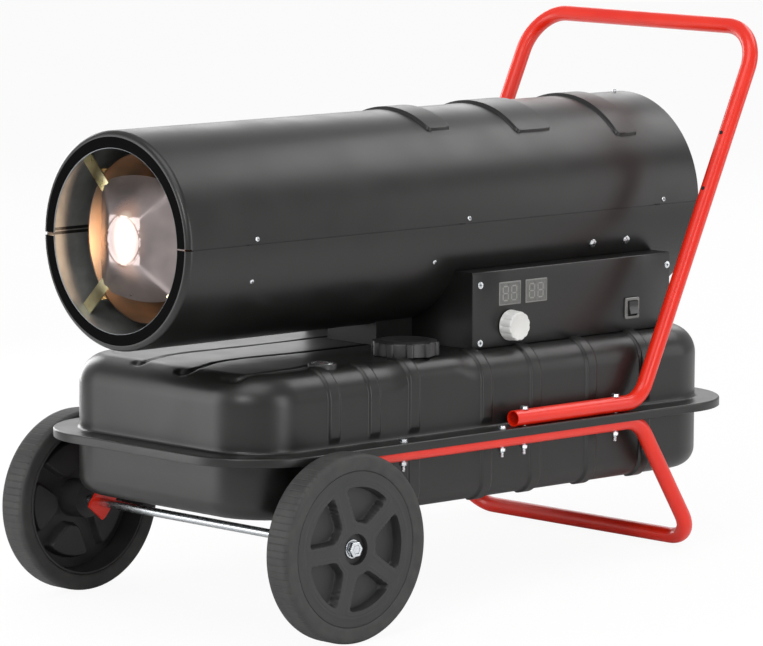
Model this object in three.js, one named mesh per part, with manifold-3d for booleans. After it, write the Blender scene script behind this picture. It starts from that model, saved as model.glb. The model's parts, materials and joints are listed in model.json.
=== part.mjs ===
// A forced air heater: a burner and fan in a steel barrel, on a fuel tank with two wheels, a stand and a push handle.
// Millimetres, +Z up. Warm air leaves towards -Y, the control panel faces +X.
// The tank, the barrel and the frame are drawn level and square in the heater's own frame, whose origin is the middle
// of the axle. The whole heater then leans back by the few degrees that bring its stand down to the floor.
import * as THREE from "three";
import { mergeVertices } from "three/addons/utils/BufferGeometryUtils.js";
import Module from "manifold-3d";

const wasm = await Module();
wasm.setup();

// ---------------------------------------------------------------------------------------------------------------
// Driving sizes
// ---------------------------------------------------------------------------------------------------------------

const seatGap = 0.3; // left between pieces that rest on each other
const runGap = 0.5; // left round a piece that turns or slides

// wheels and axle
const wheelRadius = 125;
const tyreWidth = 44;
const tyreShoulder = 5;
const tyreBore = 103;
const tyreSides = 28;
const wheelFace = 287; // outer face of each wheel, from the middle of the heater
const rimWidth = 38;
const rimLip = 12; // how far the rim's outer ring reaches in
const rimStep = 5;
const spokeThickness = 24;
const webThickness = 5;
const pocketOuter = 84;
const spokeCount = 5;
const spokeWidth = 17;
const spokeTurn = 17; // degrees that the first spoke leans forward of the top
const hubRadius = 25;
const hubRecess = 11;
const hubRecessRadius = 21;
const axleRadius = 6;
const nutAcrossFlats = 19;
const nutThickness = 9;

// bent steel tube of the handle and the lower frame
const tubeRadius = 11;
const tubeWall = 1.5;
const tubeSides = 12;
const tubeX = 220; // middle of each side tube, from the middle of the heater
const bendSteps = 3;
const handleFront = 352; // open front end of the handle's foot
const handleFootCorner = 599;
const handleTopY = 837.5;
const handleTopZ = 635.5;
const footBend = 42;
const handleBend = 62;
const standCornerY = 597.5;
const standBarY = 713.5;
const standBarZ = -75.4;
const standBend = 45;
const axleLegCorner = 86; // where the leg down to the axle leaves the level run
const axleLegBend = 45;
const flatWidth = 35; // flattened tube end on the axle
const flatThickness = 4;
const flatLength = 62;
const flatBeyondAxle = 18;
const legHoleRadius = 3;
const legHoles = [0.56, 0.71]; // drilled in the back of each handle leg, as shares of its length

// frame bolts
const boltRadius = 3;
const boltHeadAcross = 10;
const boltHeadHeight = 4;
const boltNutHeight = 5;
const boltTail = 8;
const shortBoltsY = [146, 331];
const longBoltsY = [373, 551];

// tank
const tankHalfWidth = 198;
const tankFront = -104;
const tankLength = 890;
const tankCorner = 83;
const tankEdge = 28; // radius of the top and bottom edges
const tankWall = 1.5;
const tankCornerSteps = 3; // half the number of facets of each corner
const tankAboveFlange = 101;
const tankBelowFlange = 99;
const flangeTop = 119;
const flangeReach = 35;
const flangeSheet = 1.2;
const lipDepth = 12;
const ribsY = [41, 114, 187, 323, 417, 526, 633];
const ribWidth = 22;
const ribHeight = 2;
const ribTopInset = 34; // how far from the tank's side the ribs end on its top

// filler
const fillerX = 138;
const fillerY = 228;
const neckRadius = 30;
const neckWall = 2.5;
const neckHeight = 14;
const neckFlange = 9;
const neckFlangeSheet = 1.6;
const neckBelow = 10;
const capRadius = 43;
const capLug = 3;
const capLugs = 10;
const capHeight = 18.5;
const capLift = 2.5; // gap under the closed cap's skirt
const capWall = 3;
const gasketThickness = 3;
const strainerDepth = 85;
const strainerWall = 1.5;

// fuel gauge
const gaugeX = 152;
const gaugeY = 62;
const gaugeRadius = 19;
const gaugeHeight = 5;
const gaugeDial = 14;
const gaugeStem = 7.5;
const gaugeStemLength = 86;
const gaugePin = 2.5;
const floatArmLength = 88;
const floatRadius = 14;
const floatLength = 34;
const pointerLength = 21;
const floatRest = -50; // degrees from level, with the tank empty

// fuel pick-up and drain
const pickupX = -40;
const pickupY = 430;
const pickupTube = 4;
const pickupFilterRadius = 12;
const pickupFilterLength = 30;
const pickupFilterTaper = 4;
const pickupFlange = 13;
const pickupFlangeSheet = 3;
const pickupFitting = 9; // height of the fitting on the tank's top
const pickupTail = 11;
const drainX = -60;
const drainFromRear = 96;
const drainRadius = 9;

// barrel
const barrelRadius = 145;
const barrelSheet = 1.5;
const barrelFront = -168;
const barrelLength = 963;
const barrelRise = 25; // gap between the tank's top and the barrel
const barrelSides = 40;
const mouthRadius = 122;
const mouthRoll = 7; // radius of the rolled front edge
const bandHeight = 4;
const bandsY = [346, 515, 686];
const bandWidths = [45, 68, 43];
const bandStarts = [56, 49, 41]; // degrees above the horizontal at which each raised band begins

// combustion chamber and burner, measured back from the barrel's mouth
const chamberRadius = 113;
const chamberSheet = 1.5;
const chamberSides = 24;
const chamberFront = 51;
const chamberRear = 458;
const burnerPlateAt = 440;
const burnerHole = 26;
const ringWidth = 14;
const ringAt = 425;
const deflectorHalf = 69;
const deflectorSheet = 1.5;
const deflectorAt = 40;
const deflectorRise = 23;
const deflectorFlat = 24;
const deflectorBow = 4;
const deflectorDip = 5.5;
const tabWidth = 18;
const nozzleRadius = 17;
const nozzleLength = 46;
const nozzleFlange = 38;
const nozzleTip = 9;
const sideFittingX = 62; // igniter and flame sensor on the burner plate
const igniterRadius = 7;
const igniterLength = 44;
const sensorRadius = 6;
const sensorLength = 30;

// motor, fan and air pump, measured back from the barrel's mouth
const shaftRadius = 4;
const shaftFront = 640;
const shaftLength = 228;
const fanAt = 648;
const fanHubRadius = 28;
const fanHubLength = 44;
const fanRadius = 131;
const fanBlades = 5;
const bladeChord = 74;
const bladePitch = 28;
const bladeSheet = 2;
const motorAt = 713;
const motorLength = 120;
const motorRadius = 58;
const cradleSheet = 2.5;
const cradleSpan = 52; // half angle of the motor's cradle, degrees
const cradleInset = 24; // from each end of the motor to the cradle's plates
const pumpRadius = 46;
const pumpLength = 24;
const pumpBore = 31;
const pumpOffset = 3.5;
const rotorRadius = 27;
const pumpCoverLength = 24;
const filterRadius = 41;
const filterLength = 12;
const guardAt = 953;
const guardWire = 3;
const guardRings = 4;
const guardBars = 3;

// control box
const boxFront = 328;
const boxLength = 388;
const boxBeyondBarrel = 20; // how far each side wall stands outside the barrel
const boxHeight = 104.5;
const boxSheet = 1.2;
const boxReturn = 12;
const panelLipGap = 0.4;
const displayWidth = 42;
const displayHeight = 32;
const displaysY = [399, 450];
const displayFromTop = 32.5; // middle of the displays, below the top of the box
const displayDepth = 12;
const knobY = 398.5;
const knobZ = 28.5; // above the tank top, as the next heights are
const knobRadius = 21;
const knobDepth = 20;
const knobFlutes = 12;
const spindleRadius = 3;
const switchY = 639.5;
const switchZ = 31.8;
const switchWidth = 28;
const switchHeight = 29.5;
const switchBezel = 2.2;
const switchDepth = 20;
const rockerWidth = 18;
const rockerHeight = 20;
const rockerThrow = 16; // degrees from off to on
const boardWidth = 118;
const boardHeight = 68;
const boardSheet = 1.6;
const potRadius = 11;
const potDepth = 10;
const spindleLength = 13;
const transformerSize = [52, 88, 38];
const transformerFromWall = 37;
const transformerY = 545;
const glandFromWall = 53;
const glandZ = 30;
const glandRadius = 10;
const glandBore = 4.5;

// hoses
const hoseRadius = 4;
const hoseBore = 2.5;
const hoseBend = 18;
const airHoseX = 25;
const airHoseZ = 12; // above the tank top, under the barrel
const airHoseRise = 452;

// support under the barrel's front
const supportHalfWidth = 48;
const supportFront = 260;

// ---------------------------------------------------------------------------------------------------------------
// Sizes that follow from them
// ---------------------------------------------------------------------------------------------------------------

const tubeReach = tubeRadius / Math.cos(Math.PI / tubeSides); // corner of the tube's many-sided section
const handleFootZ = flangeTop + seatGap + tubeRadius;
const flangeBottom = flangeTop - 2 * flangeSheet - seatGap;
const lowerTubeZ = flangeBottom - seatGap - tubeReach;
const tankMiddle = tankFront + tankLength / 2;
const tankTop = flangeTop + tankAboveFlange;
const tankBottom = flangeTop - tankBelowFlange;
const drainY = tankFront + tankLength - drainFromRear;
const barrelAxis = tankTop + barrelRise + barrelRadius;
const barrelInner = barrelRadius - barrelSheet;
const barrelInnerFlat = barrelInner * Math.cos(Math.PI / barrelSides); // at the middle of the many-sided barrel's flats
const boxHalfWidth = barrelRadius + boxBeyondBarrel;
const glandX = boxHalfWidth - glandFromWall;
const displayZ = boxHeight - displayFromTop;
const reachToBarrel = (width) => Math.sqrt((barrelInnerFlat - seatGap) ** 2 - (width / 2) ** 2);
const standSlope = Math.atan2(lowerTubeZ - standBarZ, standBarY - standCornerY);
const lean =
  Math.asin((wheelRadius - tubeRadius) / Math.hypot(standBarY, standBarZ)) + Math.atan2(standBarZ, standBarY);

// ---------------------------------------------------------------------------------------------------------------
// Solids: every helper gives a closed BufferGeometry, and join, cut and common combine them
// ---------------------------------------------------------------------------------------------------------------

function solidOf(geometry) {
  const bare = geometry.clone();
  bare.deleteAttribute("normal");
  bare.deleteAttribute("uv");
  const merged = mergeVertices(bare, 1e-4);
  const faces = [];
  const index = merged.index.array;
  for (let i = 0; i < index.length; i += 3) {
    const [a, b, c] = index.slice(i, i + 3);
    if (a !== b && b !== c && c !== a) faces.push(a, b, c);
  }
  return new wasm.Manifold(
    new wasm.Mesh({
      numProp: 3,
      vertProperties: new Float32Array(merged.attributes.position.array),
      triVerts: new Uint32Array(faces),
    }),
  );
}

function geometryOf(solid) {
  const mesh = solid.getMesh();
  const geometry = new THREE.BufferGeometry();
  geometry.setAttribute("position", new THREE.BufferAttribute(new Float32Array(mesh.vertProperties), 3));
  geometry.setIndex(new THREE.BufferAttribute(new Uint32Array(mesh.triVerts), 1));
  geometry.computeVertexNormals();
  return geometry;
}

const combine = (operation) => (first, ...others) =>
  geometryOf(others.reduce((solid, other) => solid[operation](solidOf(other)), solidOf(first)));
const join = combine("add");
const cut = combine("subtract");
const common = combine("intersect");

// A block from its lowest to its highest corner.
function block(low, high) {
  const size = high.map((v, i) => v - low[i]);
  return new THREE.BoxGeometry(...size).translate(...low.map((v, i) => v + size[i] / 2));
}

// A profile of [radius, height] points turned about the Y axis. It closes on itself, or along the axis.
function turned(profile, sides) {
  let points = profile;
  const onAxis = points[0][0] === 0 && points[points.length - 1][0] === 0;
  const area = points.reduce((sum, [x, y], i) => {
    const [nextX, nextY] = points[(i + 1) % points.length];
    return sum + x * nextY - nextX * y;
  }, 0);
  if (area < 0) points = [...points].reverse();
  if (!onAxis) points = [...points, points[0]];
  const outline = points.map(([x, y]) => new THREE.Vector2(x, y));
  return new THREE.LatheGeometry(outline, sides, Math.PI / sides);
}
const turnedAboutX = (profile, sides) => turned(profile, sides).rotateZ(-Math.PI / 2);
const turnedAboutZ = (profile, sides) => turned(profile, sides).rotateX(Math.PI / 2);

// Profiles for the turned pieces: a solid rod and a ring of rectangular section.
const rod = (radius, from, to) => [
  [0, from],
  [radius, from],
  [radius, to],
  [0, to],
];
const ring = (inner, outer, from, to) => [
  [inner, from],
  [outer, from],
  [outer, to],
  [inner, to],
];

// The corner radius of a many-sided hole whose flats lie at the given radius.
const around = (radius, sides) => radius / Math.cos(Math.PI / sides);

// A shape drawn as (across, up) and given a thickness: lying flat, facing along Y, or facing along X.
const flat = (shape, thickness, curveSegments = 6) =>
  new THREE.ExtrudeGeometry(shape, { depth: thickness, bevelEnabled: false, curveSegments });
const facingY = (shape, thickness, curveSegments) =>
  flat(shape, thickness, curveSegments).rotateX(Math.PI / 2).translate(0, thickness, 0);
const facingX = (shape, thickness, curveSegments) =>
  flat(shape, thickness, curveSegments).rotateX(Math.PI / 2).rotateZ(Math.PI / 2);

function polygon(points) {
  return new THREE.Shape(points.map(([x, y]) => new THREE.Vector2(x, y)));
}

function roundedRectangle(halfWidth, halfLength, corner) {
  const shape = new THREE.Shape();
  const x = halfWidth - corner;
  const y = halfLength - corner;
  shape.absarc(x, y, corner, 0, Math.PI / 2);
  shape.absarc(-x, y, corner, Math.PI / 2, Math.PI);
  shape.absarc(-x, -y, corner, Math.PI, 1.5 * Math.PI);
  shape.absarc(x, -y, corner, 1.5 * Math.PI, 2 * Math.PI);
  return shape;
}

// A sector of a ring, between two angles in degrees.
function sector(inner, outer, from, to) {
  const shape = new THREE.Shape();
  const start = THREE.MathUtils.degToRad(from);
  const end = THREE.MathUtils.degToRad(to);
  shape.absarc(0, 0, outer, start, end);
  shape.absarc(0, 0, inner, end, start, true);
  return shape;
}

const hexagon = (acrossFlats, from, to) => rod(acrossFlats / 2 / Math.cos(Math.PI / 6), from, to);

// The centreline of a bent tube: straight runs between corners, and an arc of the given radius at each corner.
class BentLine extends THREE.Curve {
  constructor(corners, radii) {
    super();
    this.stations = [corners[0]];
    this.directions = [corners[1].clone().sub(corners[0]).normalize()];
    for (let i = 1; i < corners.length - 1; i++) {
      const into = corners[i].clone().sub(corners[i - 1]).normalize();
      const outOf = corners[i + 1].clone().sub(corners[i]).normalize();
      const turn = into.angleTo(outOf);
      const setback = radii[i - 1] * Math.tan(turn / 2);
      const centre = outOf.clone().sub(into).normalize();
      centre.multiplyScalar(radii[i - 1] / Math.cos(turn / 2)).add(corners[i]);
      const axis = into.clone().cross(outOf).normalize();
      const arm = corners[i].clone().addScaledVector(into, -setback).sub(centre);
      for (let k = 0; k <= bendSteps; k++) {
        const angle = (turn * k) / bendSteps;
        this.stations.push(arm.clone().applyAxisAngle(axis, angle).add(centre));
        this.directions.push(into.clone().applyAxisAngle(axis, angle));
      }
    }
    this.stations.push(corners[corners.length - 1]);
    this.directions.push(this.directions[this.directions.length - 1].clone());
    this.steps = this.stations.length - 1;
  }
  getPointAt(u, target = new THREE.Vector3()) {
    return target.copy(this.stations[Math.round(u * this.steps)]);
  }
  getTangentAt(u, target = new THREE.Vector3()) {
    return target.copy(this.directions[Math.round(u * this.steps)]);
  }
}

function sectionPath(Kind, radius, sides, turn) {
  const points = [];
  for (let k = 0; k < sides; k++) {
    const angle = turn + ((k + 0.5) * 2 * Math.PI) / sides;
    points.push(new THREE.Vector2(radius * Math.cos(angle), radius * Math.sin(angle)));
  }
  return new Kind(points);
}

// A pipe along a bent line. Its section has flats at the given radius, and turn swings the flats about the line.
function pipe(line, radius, bore, sides, boreSides, turn = 0) {
  const section = sectionPath(THREE.Shape, around(radius, sides), sides, turn);
  section.holes.push(sectionPath(THREE.Path, bore, boreSides, turn));
  return new THREE.ExtrudeGeometry(section, { extrudePath: line, steps: line.steps, curveSegments: 1 });
}

const vec = (x, y, z) => new THREE.Vector3(x, y, z);

// The same line mirrored to the far side and joined to the near side: a tube that is bent in one piece.
function mirroredCorners(nearSide) {
  const farSide = [...nearSide].reverse().map((p) => vec(-p.x, p.y, p.z));
  return [...nearSide, ...farSide];
}

// ---------------------------------------------------------------------------------------------------------------
// Materials
// ---------------------------------------------------------------------------------------------------------------

const material = (color, roughness, metalness) => new THREE.MeshStandardMaterial({ color, roughness, metalness });
const blackPaint = () => material("#2c2c2b", 0.42, 0.0);
const redPaint = () => material("#d8200c", 0.28, 0.0);
const zincPlate = () => material("#b9bcc0", 0.32, 1.0);
const rubber = () => material("#1f1f20", 0.8, 0.0);
const blackPlastic = () => material("#232324", 0.5, 0.0);
const heatedSteel = () => material("#8d8484", 0.38, 1.0);
const bareSteel = () => material("#8c8f92", 0.4, 1.0);
const castAluminium = () => material("#a6a8aa", 0.5, 1.0);
const brass = () => material("#b58a3c", 0.35, 1.0);
const palePlastic = () => material("#d9d9d6", 0.35, 0.0);
const displayWindow = () => material("#5a5a58", 0.25, 0.0);
const boardGreen = () => material("#2f5a3c", 0.6, 0.0);
const clearPlastic = () => material("#cfd6d8", 0.1, 0.0);
const foam = () => material("#3a3a38", 0.95, 0.0);

function piece(name, geometry, finish, place = [0, 0, 0]) {
  const mesh = new THREE.Mesh(geometry, finish);
  mesh.name = name;
  mesh.position.set(...place);
  return mesh;
}

function group(place, ...members) {
  const made = new THREE.Group();
  made.position.set(...place);
  made.add(...members);
  return made;
}

// ---------------------------------------------------------------------------------------------------------------
// Wheels: drawn about the X axis with the outer face towards +X, and turned round for the far side
// ---------------------------------------------------------------------------------------------------------------

function tyre() {
  const half = tyreWidth / 2;
  const flatRadius = wheelRadius / Math.cos(Math.PI / tyreSides);
  const shoulder = flatRadius - tyreShoulder;
  const tread = half - tyreShoulder;
  return turnedAboutX(
    [
      [tyreBore, -half],
      [shoulder, -half],
      [flatRadius, -tread],
      [flatRadius, tread],
      [shoulder, half],
      [tyreBore, half],
    ],
    tyreSides,
  );
}

// The rim, its thin web and its hub are turned in one, and the spokes stand on both faces of the web.
function wheel() {
  const rimRadius = tyreBore - seatGap;
  const half = rimWidth / 2;
  const hubOuter = tyreWidth / 2;
  const hubInner = wheelFace - tyreWidth / 2 - tubeX - flatThickness / 2 - runGap;
  const bore = axleRadius + runGap;
  const web = webThickness / 2;
  const body = turnedAboutX(
    [
      [bore, -hubInner],
      [hubRadius, -hubInner],
      [hubRadius, -web],
      [pocketOuter, -web],
      [pocketOuter, -half + rimStep],
      [rimRadius - rimLip, -half + rimStep],
      [rimRadius - rimLip, -half],
      [rimRadius, -half],
      [rimRadius, half],
      [rimRadius - rimLip, half],
      [rimRadius - rimLip, half - rimStep],
      [pocketOuter, half - rimStep],
      [pocketOuter, web],
      [hubRadius, web],
      [hubRadius, hubOuter],
      [hubRecessRadius, hubOuter],
      [hubRecessRadius, hubOuter - hubRecess],
      [bore, hubOuter - hubRecess],
    ],
    tyreSides,
  );
  const spokes = [];
  for (let k = 0; k < spokeCount; k++) {
    const spoke = block(
      [-spokeThickness / 2, -spokeWidth / 2, hubRecessRadius + 2],
      [spokeThickness / 2, spokeWidth / 2, pocketOuter + 2],
    );
    const firstSpoke = THREE.MathUtils.degToRad(spokeTurn);
    spokes.push(spoke.rotateX(firstSpoke + (k * 2 * Math.PI) / spokeCount));
  }
  return join(body, ...spokes);
}

function hubNut() {
  const hubOuter = tyreWidth / 2;
  const base = hubOuter - hubRecess + runGap;
  const nut = turnedAboutX(hexagon(nutAcrossFlats, base, base + nutThickness), 6);
  return cut(nut, turnedAboutX(rod(around(axleRadius + seatGap, 12), base - 1, base + nutThickness + 1), 12));
}

function wheelSet(side, name) {
  const set = group(
    [side * (wheelFace - tyreWidth / 2), 0, 0],
    piece("tyre_" + name, tyre(), rubber()),
    piece("wheel_" + name, wheel(), blackPlastic()),
    piece("hub_nut_" + name, hubNut(), zincPlate()),
  );
  if (side < 0) set.rotation.z = Math.PI;
  return set;
}

const axle = () =>
  turnedAboutX(rod(axleRadius, -wheelFace + seatGap + 1, wheelFace - seatGap - 1), 16);

// ---------------------------------------------------------------------------------------------------------------
// Frame: the push handle, the lower frame with its stand, and the bolts that clamp both to the tank's flange
// ---------------------------------------------------------------------------------------------------------------

const boltHole = (x, y, from, to) =>
  turnedAboutZ(rod(boltRadius + 2 * seatGap, from, to), 6).translate(x, y, 0);

function boltHoles(positions, z) {
  const holes = [];
  for (const x of [-tubeX, tubeX]) {
    for (const y of positions) holes.push(boltHole(x, y, z - 2 * tubeReach, z + 2 * tubeReach));
  }
  return holes;
}

function handle() {
  const legFoot = vec(tubeX, handleFootCorner, handleFootZ);
  const legTop = vec(tubeX, handleTopY, handleTopZ);
  const corners = mirroredCorners([vec(tubeX, handleFront, handleFootZ), legFoot, legTop]);
  const line = new BentLine(corners, [footBend, handleBend, handleBend, footBend]);
  const tube = pipe(line, tubeRadius, tubeRadius - tubeWall, tubeSides, tubeSides / 2);
  const slope = Math.atan2(legTop.z - legFoot.z, legTop.y - legFoot.y);
  const drilled = [];
  for (const share of legHoles) {
    const at = legFoot.clone().lerp(legTop, share);
    for (const x of [-tubeX, tubeX]) {
      const drill = turned(rod(legHoleRadius, 0, 2 * tubeReach), 6);
      drilled.push(drill.rotateX(slope - Math.PI / 2).translate(x, at.y, at.z));
    }
  }
  return cut(tube, ...boltHoles(longBoltsY, handleFootZ), ...drilled);
}

// The tube's end is pressed flat where the axle passes through it.
function flattenedEnd(slope) {
  const half = flatWidth / 2;
  const neck = flatLength - flatBeyondAxle;
  const outline = polygon([
    [-flatBeyondAxle, -half],
    [neck - half, -half],
    [neck, -tubeRadius + 1],
    [neck, tubeRadius - 1],
    [neck - half, half],
    [-flatBeyondAxle, half],
  ]);
  outline.holes.push(new THREE.Path().absarc(0, 0, around(axleRadius + seatGap, 10), 0, 2 * Math.PI));
  return facingX(outline, flatThickness, 5).translate(-flatThickness / 2, 0, 0).rotateX(slope);
}

function lowerFrame() {
  const slope = Math.atan2(lowerTubeZ, axleLegCorner);
  const start = flatLength - flatBeyondAxle - flatWidth / 2;
  const corners = mirroredCorners([
    vec(tubeX, start * Math.cos(slope), start * Math.sin(slope)),
    vec(tubeX, axleLegCorner, lowerTubeZ),
    vec(tubeX, standCornerY, lowerTubeZ),
    vec(tubeX, standBarY, standBarZ),
  ]);
  const bends = [axleLegBend, standBend, standBend, standBend, standBend, axleLegBend];
  const line = new BentLine(corners, bends);
  const floorTurn = Math.PI / 2 - standSlope - lean; // brings a flat of the section down to the floor at the stand
  const tube = pipe(line, tubeRadius, tubeRadius - tubeWall, tubeSides, tubeSides / 2, floorTurn);
  const ends = [-tubeX, tubeX].map((x) => flattenedEnd(slope).translate(x, 0, 0));
  return cut(join(tube, ...ends), ...boltHoles([...shortBoltsY, ...longBoltsY], lowerTubeZ));
}

// A bolt with its nut, drawn down from the face that its head rests on.
function bolt(grip) {
  const head = turnedAboutZ(hexagon(boltHeadAcross, seatGap, seatGap + boltHeadHeight), 6);
  const nutTop = -grip - seatGap;
  const nut = turnedAboutZ(hexagon(boltHeadAcross, nutTop - boltNutHeight, nutTop), 6);
  const shank = turnedAboutZ(rod(boltRadius, nutTop - boltNutHeight - boltTail, seatGap + 1), 8);
  return join(shank, head, nut);
}

function bolts() {
  const tubeBottom = lowerTubeZ - tubeReach;
  const made = [];
  for (const [side, name] of [
    [1, "near"],
    [-1, "far"],
  ]) {
    let number = 1;
    for (const [positions, top] of [
      [shortBoltsY, flangeTop],
      [longBoltsY, handleFootZ + tubeRadius],
    ]) {
      for (const y of positions) {
        const label = "frame_bolt_" + name + "_" + number;
        made.push(piece(label, bolt(top - tubeBottom), zincPlate(), [side * tubeX, y, top]));
        number += 1;
      }
    }
  }
  return made;
}

// ---------------------------------------------------------------------------------------------------------------
// Tank: drawn with the flange's top face at z = 0 and the tank's middle at y = 0
// ---------------------------------------------------------------------------------------------------------------

// A closed body with rounded plan corners and rounded top and bottom edges.
function tankBody(inset, steps = tankCornerSteps) {
  const edge = tankEdge - inset;
  const height = tankAboveFlange + tankBelowFlange - 2 * inset;
  const outline = roundedRectangle(tankHalfWidth - inset, tankLength / 2 - inset, tankCorner - inset);
  return new THREE.ExtrudeGeometry(outline, {
    depth: height - 2 * edge,
    bevelThickness: edge,
    bevelSize: edge,
    bevelOffset: -edge,
    bevelSegments: steps,
    curveSegments: steps,
  }).translate(0, 0, -tankBelowFlange + inset + edge);
}

function ribs() {
  const slabs = [];
  for (const y of ribsY) {
    const low = y - tankMiddle - ribWidth / 2;
    for (const side of [-1, 1]) {
      const outer = side * (tankHalfWidth + 2 * ribHeight);
      const inner = side * (tankHalfWidth - ribTopInset);
      const x = [Math.min(outer, inner), Math.max(outer, inner)];
      slabs.push(block([x[0], low, -tankBelowFlange], [x[1], low + ribWidth, tankAboveFlange - 1]));
    }
  }
  return common(tankBody(-ribHeight), join(...slabs));
}

function flangeRing(reach, bottom, top) {
  const corner = tankCorner + reach;
  const outline = roundedRectangle(tankHalfWidth + reach, tankLength / 2 + reach, corner);
  const inside = roundedRectangle(tankHalfWidth - tankWall, tankLength / 2 - tankWall, tankCorner - tankWall);
  outline.holes.push(inside);
  return flat(outline, top - bottom, tankCornerSteps).translate(0, 0, bottom);
}

function tankHoles() {
  const hole = (radius, x, y, from, to) =>
    turnedAboutZ(rod(around(radius, 20), from, to), 20).translate(x, y - tankMiddle, 0);
  const [below, above] = [tankAboveFlange - 2 * tankWall, tankAboveFlange + ribHeight + 1];
  return [
    hole(neckRadius + seatGap, fillerX, fillerY, below, above),
    hole(gaugeStem + runGap, gaugeX, gaugeY, below, above),
    hole(pickupTube + runGap, pickupX, pickupY, below, above),
  ];
}

function tankShells() {
  const wide = tankHalfWidth + 2 * ribHeight;
  const long = tankLength / 2 + 2 * ribHeight;
  const upperHalf = block([-wide, -long, -flangeSheet], [wide, long, tankAboveFlange + 2 * ribHeight]);
  const lowerTop = -flangeSheet - seatGap;
  const lowerHalf = block([-wide, -long, -tankBelowFlange - 1], [wide, long, lowerTop]);
  const body = join(tankBody(0), ribs());
  const hollow = tankBody(tankWall, 2);
  const bolted = [];
  for (const x of [-tubeX, tubeX]) {
    for (const y of [...shortBoltsY, ...longBoltsY]) {
      bolted.push(boltHole(x, y - tankMiddle, -3 * flangeSheet - seatGap, flangeSheet));
    }
  }
  const lipOuter = flangeRing(flangeReach, -lipDepth, -flangeSheet / 2);
  const lipCore = flat(
    roundedRectangle(
      tankHalfWidth + flangeReach - flangeSheet,
      tankLength / 2 + flangeReach - flangeSheet,
      tankCorner + flangeReach - flangeSheet,
    ),
    lipDepth + 2,
    tankCornerSteps,
  ).translate(0, 0, -lipDepth - 1);
  const upperFlange = flangeRing(flangeReach, -flangeSheet, 0);
  const upper = join(cut(common(body, upperHalf), hollow), upperFlange, cut(lipOuter, lipCore));
  const lowerReach = flangeReach - flangeSheet - seatGap;
  const lowerFlange = flangeRing(lowerReach, lowerTop - flangeSheet, lowerTop);
  const lower = join(cut(common(body, lowerHalf), hollow), lowerFlange);
  const drainHole = turnedAboutZ(rod(drainRadius - 2 + seatGap, -3 * tankWall, 3 * tankWall), 12);
  drainHole.translate(drainX, drainY - tankMiddle, -tankBelowFlange);
  return [
    piece("tank_upper_shell", cut(upper, ...tankHoles(), ...bolted), blackPaint()),
    piece("tank_lower_shell", cut(lower, drainHole, ...bolted), blackPaint()),
  ];
}

// A plug screwed in from below: a hexagon head under the tank, and a plain shank in the drain hole.
function drainPlug() {
  const head = turnedAboutZ(hexagon(2 * drainRadius, -6 - seatGap, -seatGap), 6);
  return join(head, turnedAboutZ(rod(drainRadius - 2, -seatGap - 1, 8), 12));
}

// ---------------------------------------------------------------------------------------------------------------
// Filler: drawn about the Z axis, with the tank's top at z = 0
// ---------------------------------------------------------------------------------------------------------------

function fillerNeck() {
  const flange = neckRadius + neckFlange;
  return turnedAboutZ(
    [
      [neckRadius - neckWall, -neckBelow],
      [neckRadius, -neckBelow],
      [neckRadius, seatGap],
      [flange, seatGap],
      [flange, seatGap + neckFlangeSheet],
      [neckRadius, seatGap + neckFlangeSheet],
      [neckRadius, neckHeight],
      [neckRadius - neckWall, neckHeight],
    ],
    20,
  );
}

// A basket of slotted sheet that hangs in the neck by its rim and keeps dirt out of the tank.
function strainer() {
  const outer = neckRadius - neckWall - runGap;
  const rim = neckRadius - seatGap;
  const rimTop = neckHeight + seatGap + strainerWall;
  const bottom = -strainerDepth;
  const basket = turnedAboutZ(
    [
      [0, bottom],
      [outer, bottom],
      [outer, neckHeight + seatGap],
      [rim, neckHeight + seatGap],
      [rim, rimTop],
      [outer - strainerWall, rimTop],
      [outer - strainerWall, bottom + strainerWall],
      [0, bottom + strainerWall],
    ],
    20,
  );
  const slots = [];
  for (let k = 0; k < 4; k++) {
    const slot = block([-3, -outer - 5, bottom + 12], [3, outer + 5, -18]);
    slots.push(slot.rotateZ(((k + 0.5) * Math.PI) / 4));
  }
  return cut(basket, ...slots);
}

function capGasket() {
  const bottom = neckHeight + 2 * seatGap + strainerWall;
  return turnedAboutZ(ring(neckRadius - neckWall - 3, neckRadius, bottom, bottom + gasketThickness), 20);
}

function fuelCap() {
  const roof = neckHeight + 3 * seatGap + strainerWall + gasketThickness;
  const top = capLift + capHeight;
  const innerSkirt = neckRadius + runGap + 0.6;
  const shell = turnedAboutZ(
    [
      [0, roof],
      [innerSkirt, roof],
      [innerSkirt, capLift + 2],
      [innerSkirt + capWall, capLift + 2],
      [innerSkirt + capWall, roof - 2],
      [capRadius - capWall, roof - 2],
      [capRadius - capWall, capLift],
      [capRadius, capLift],
      [capRadius, top - 2],
      [capRadius - 2, top],
      [0, top],
    ],
    20,
  );
  const lugs = [];
  for (let k = 0; k < capLugs; k++) {
    const lug = block([capRadius - 2, -5, capLift], [capRadius + capLug, 5, top - 2]);
    lugs.push(lug.rotateZ((k * 2 * Math.PI) / capLugs));
  }
  return join(shell, ...lugs);
}

// ---------------------------------------------------------------------------------------------------------------
// Fuel gauge: a dial on the tank's top whose pointer follows a float on a swinging arm
// ---------------------------------------------------------------------------------------------------------------

const gaugePivot = -gaugeStemLength + 8; // height of the arm's pin, below the tank's top

function gaugeBody() {
  const dialFloor = gaugeHeight - 2.6;
  const body = turnedAboutZ(
    [
      [0, -gaugeStemLength],
      [gaugeStem, -gaugeStemLength],
      [gaugeStem, seatGap],
      [gaugeRadius, seatGap],
      [gaugeRadius, gaugeHeight - 1],
      [gaugeRadius - 1, gaugeHeight],
      [gaugeDial + 1, gaugeHeight],
      [gaugeDial + 1, gaugeHeight - 1.2],
      [gaugeDial, gaugeHeight - 1.2],
      [gaugeDial, dialFloor],
      [0, dialFloor],
    ],
    20,
  );
  const pin = turnedAboutX(rod(gaugePin, 0, gaugeStem + 8), 10).translate(0, 0, gaugePivot);
  return join(body, pin);
}

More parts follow.
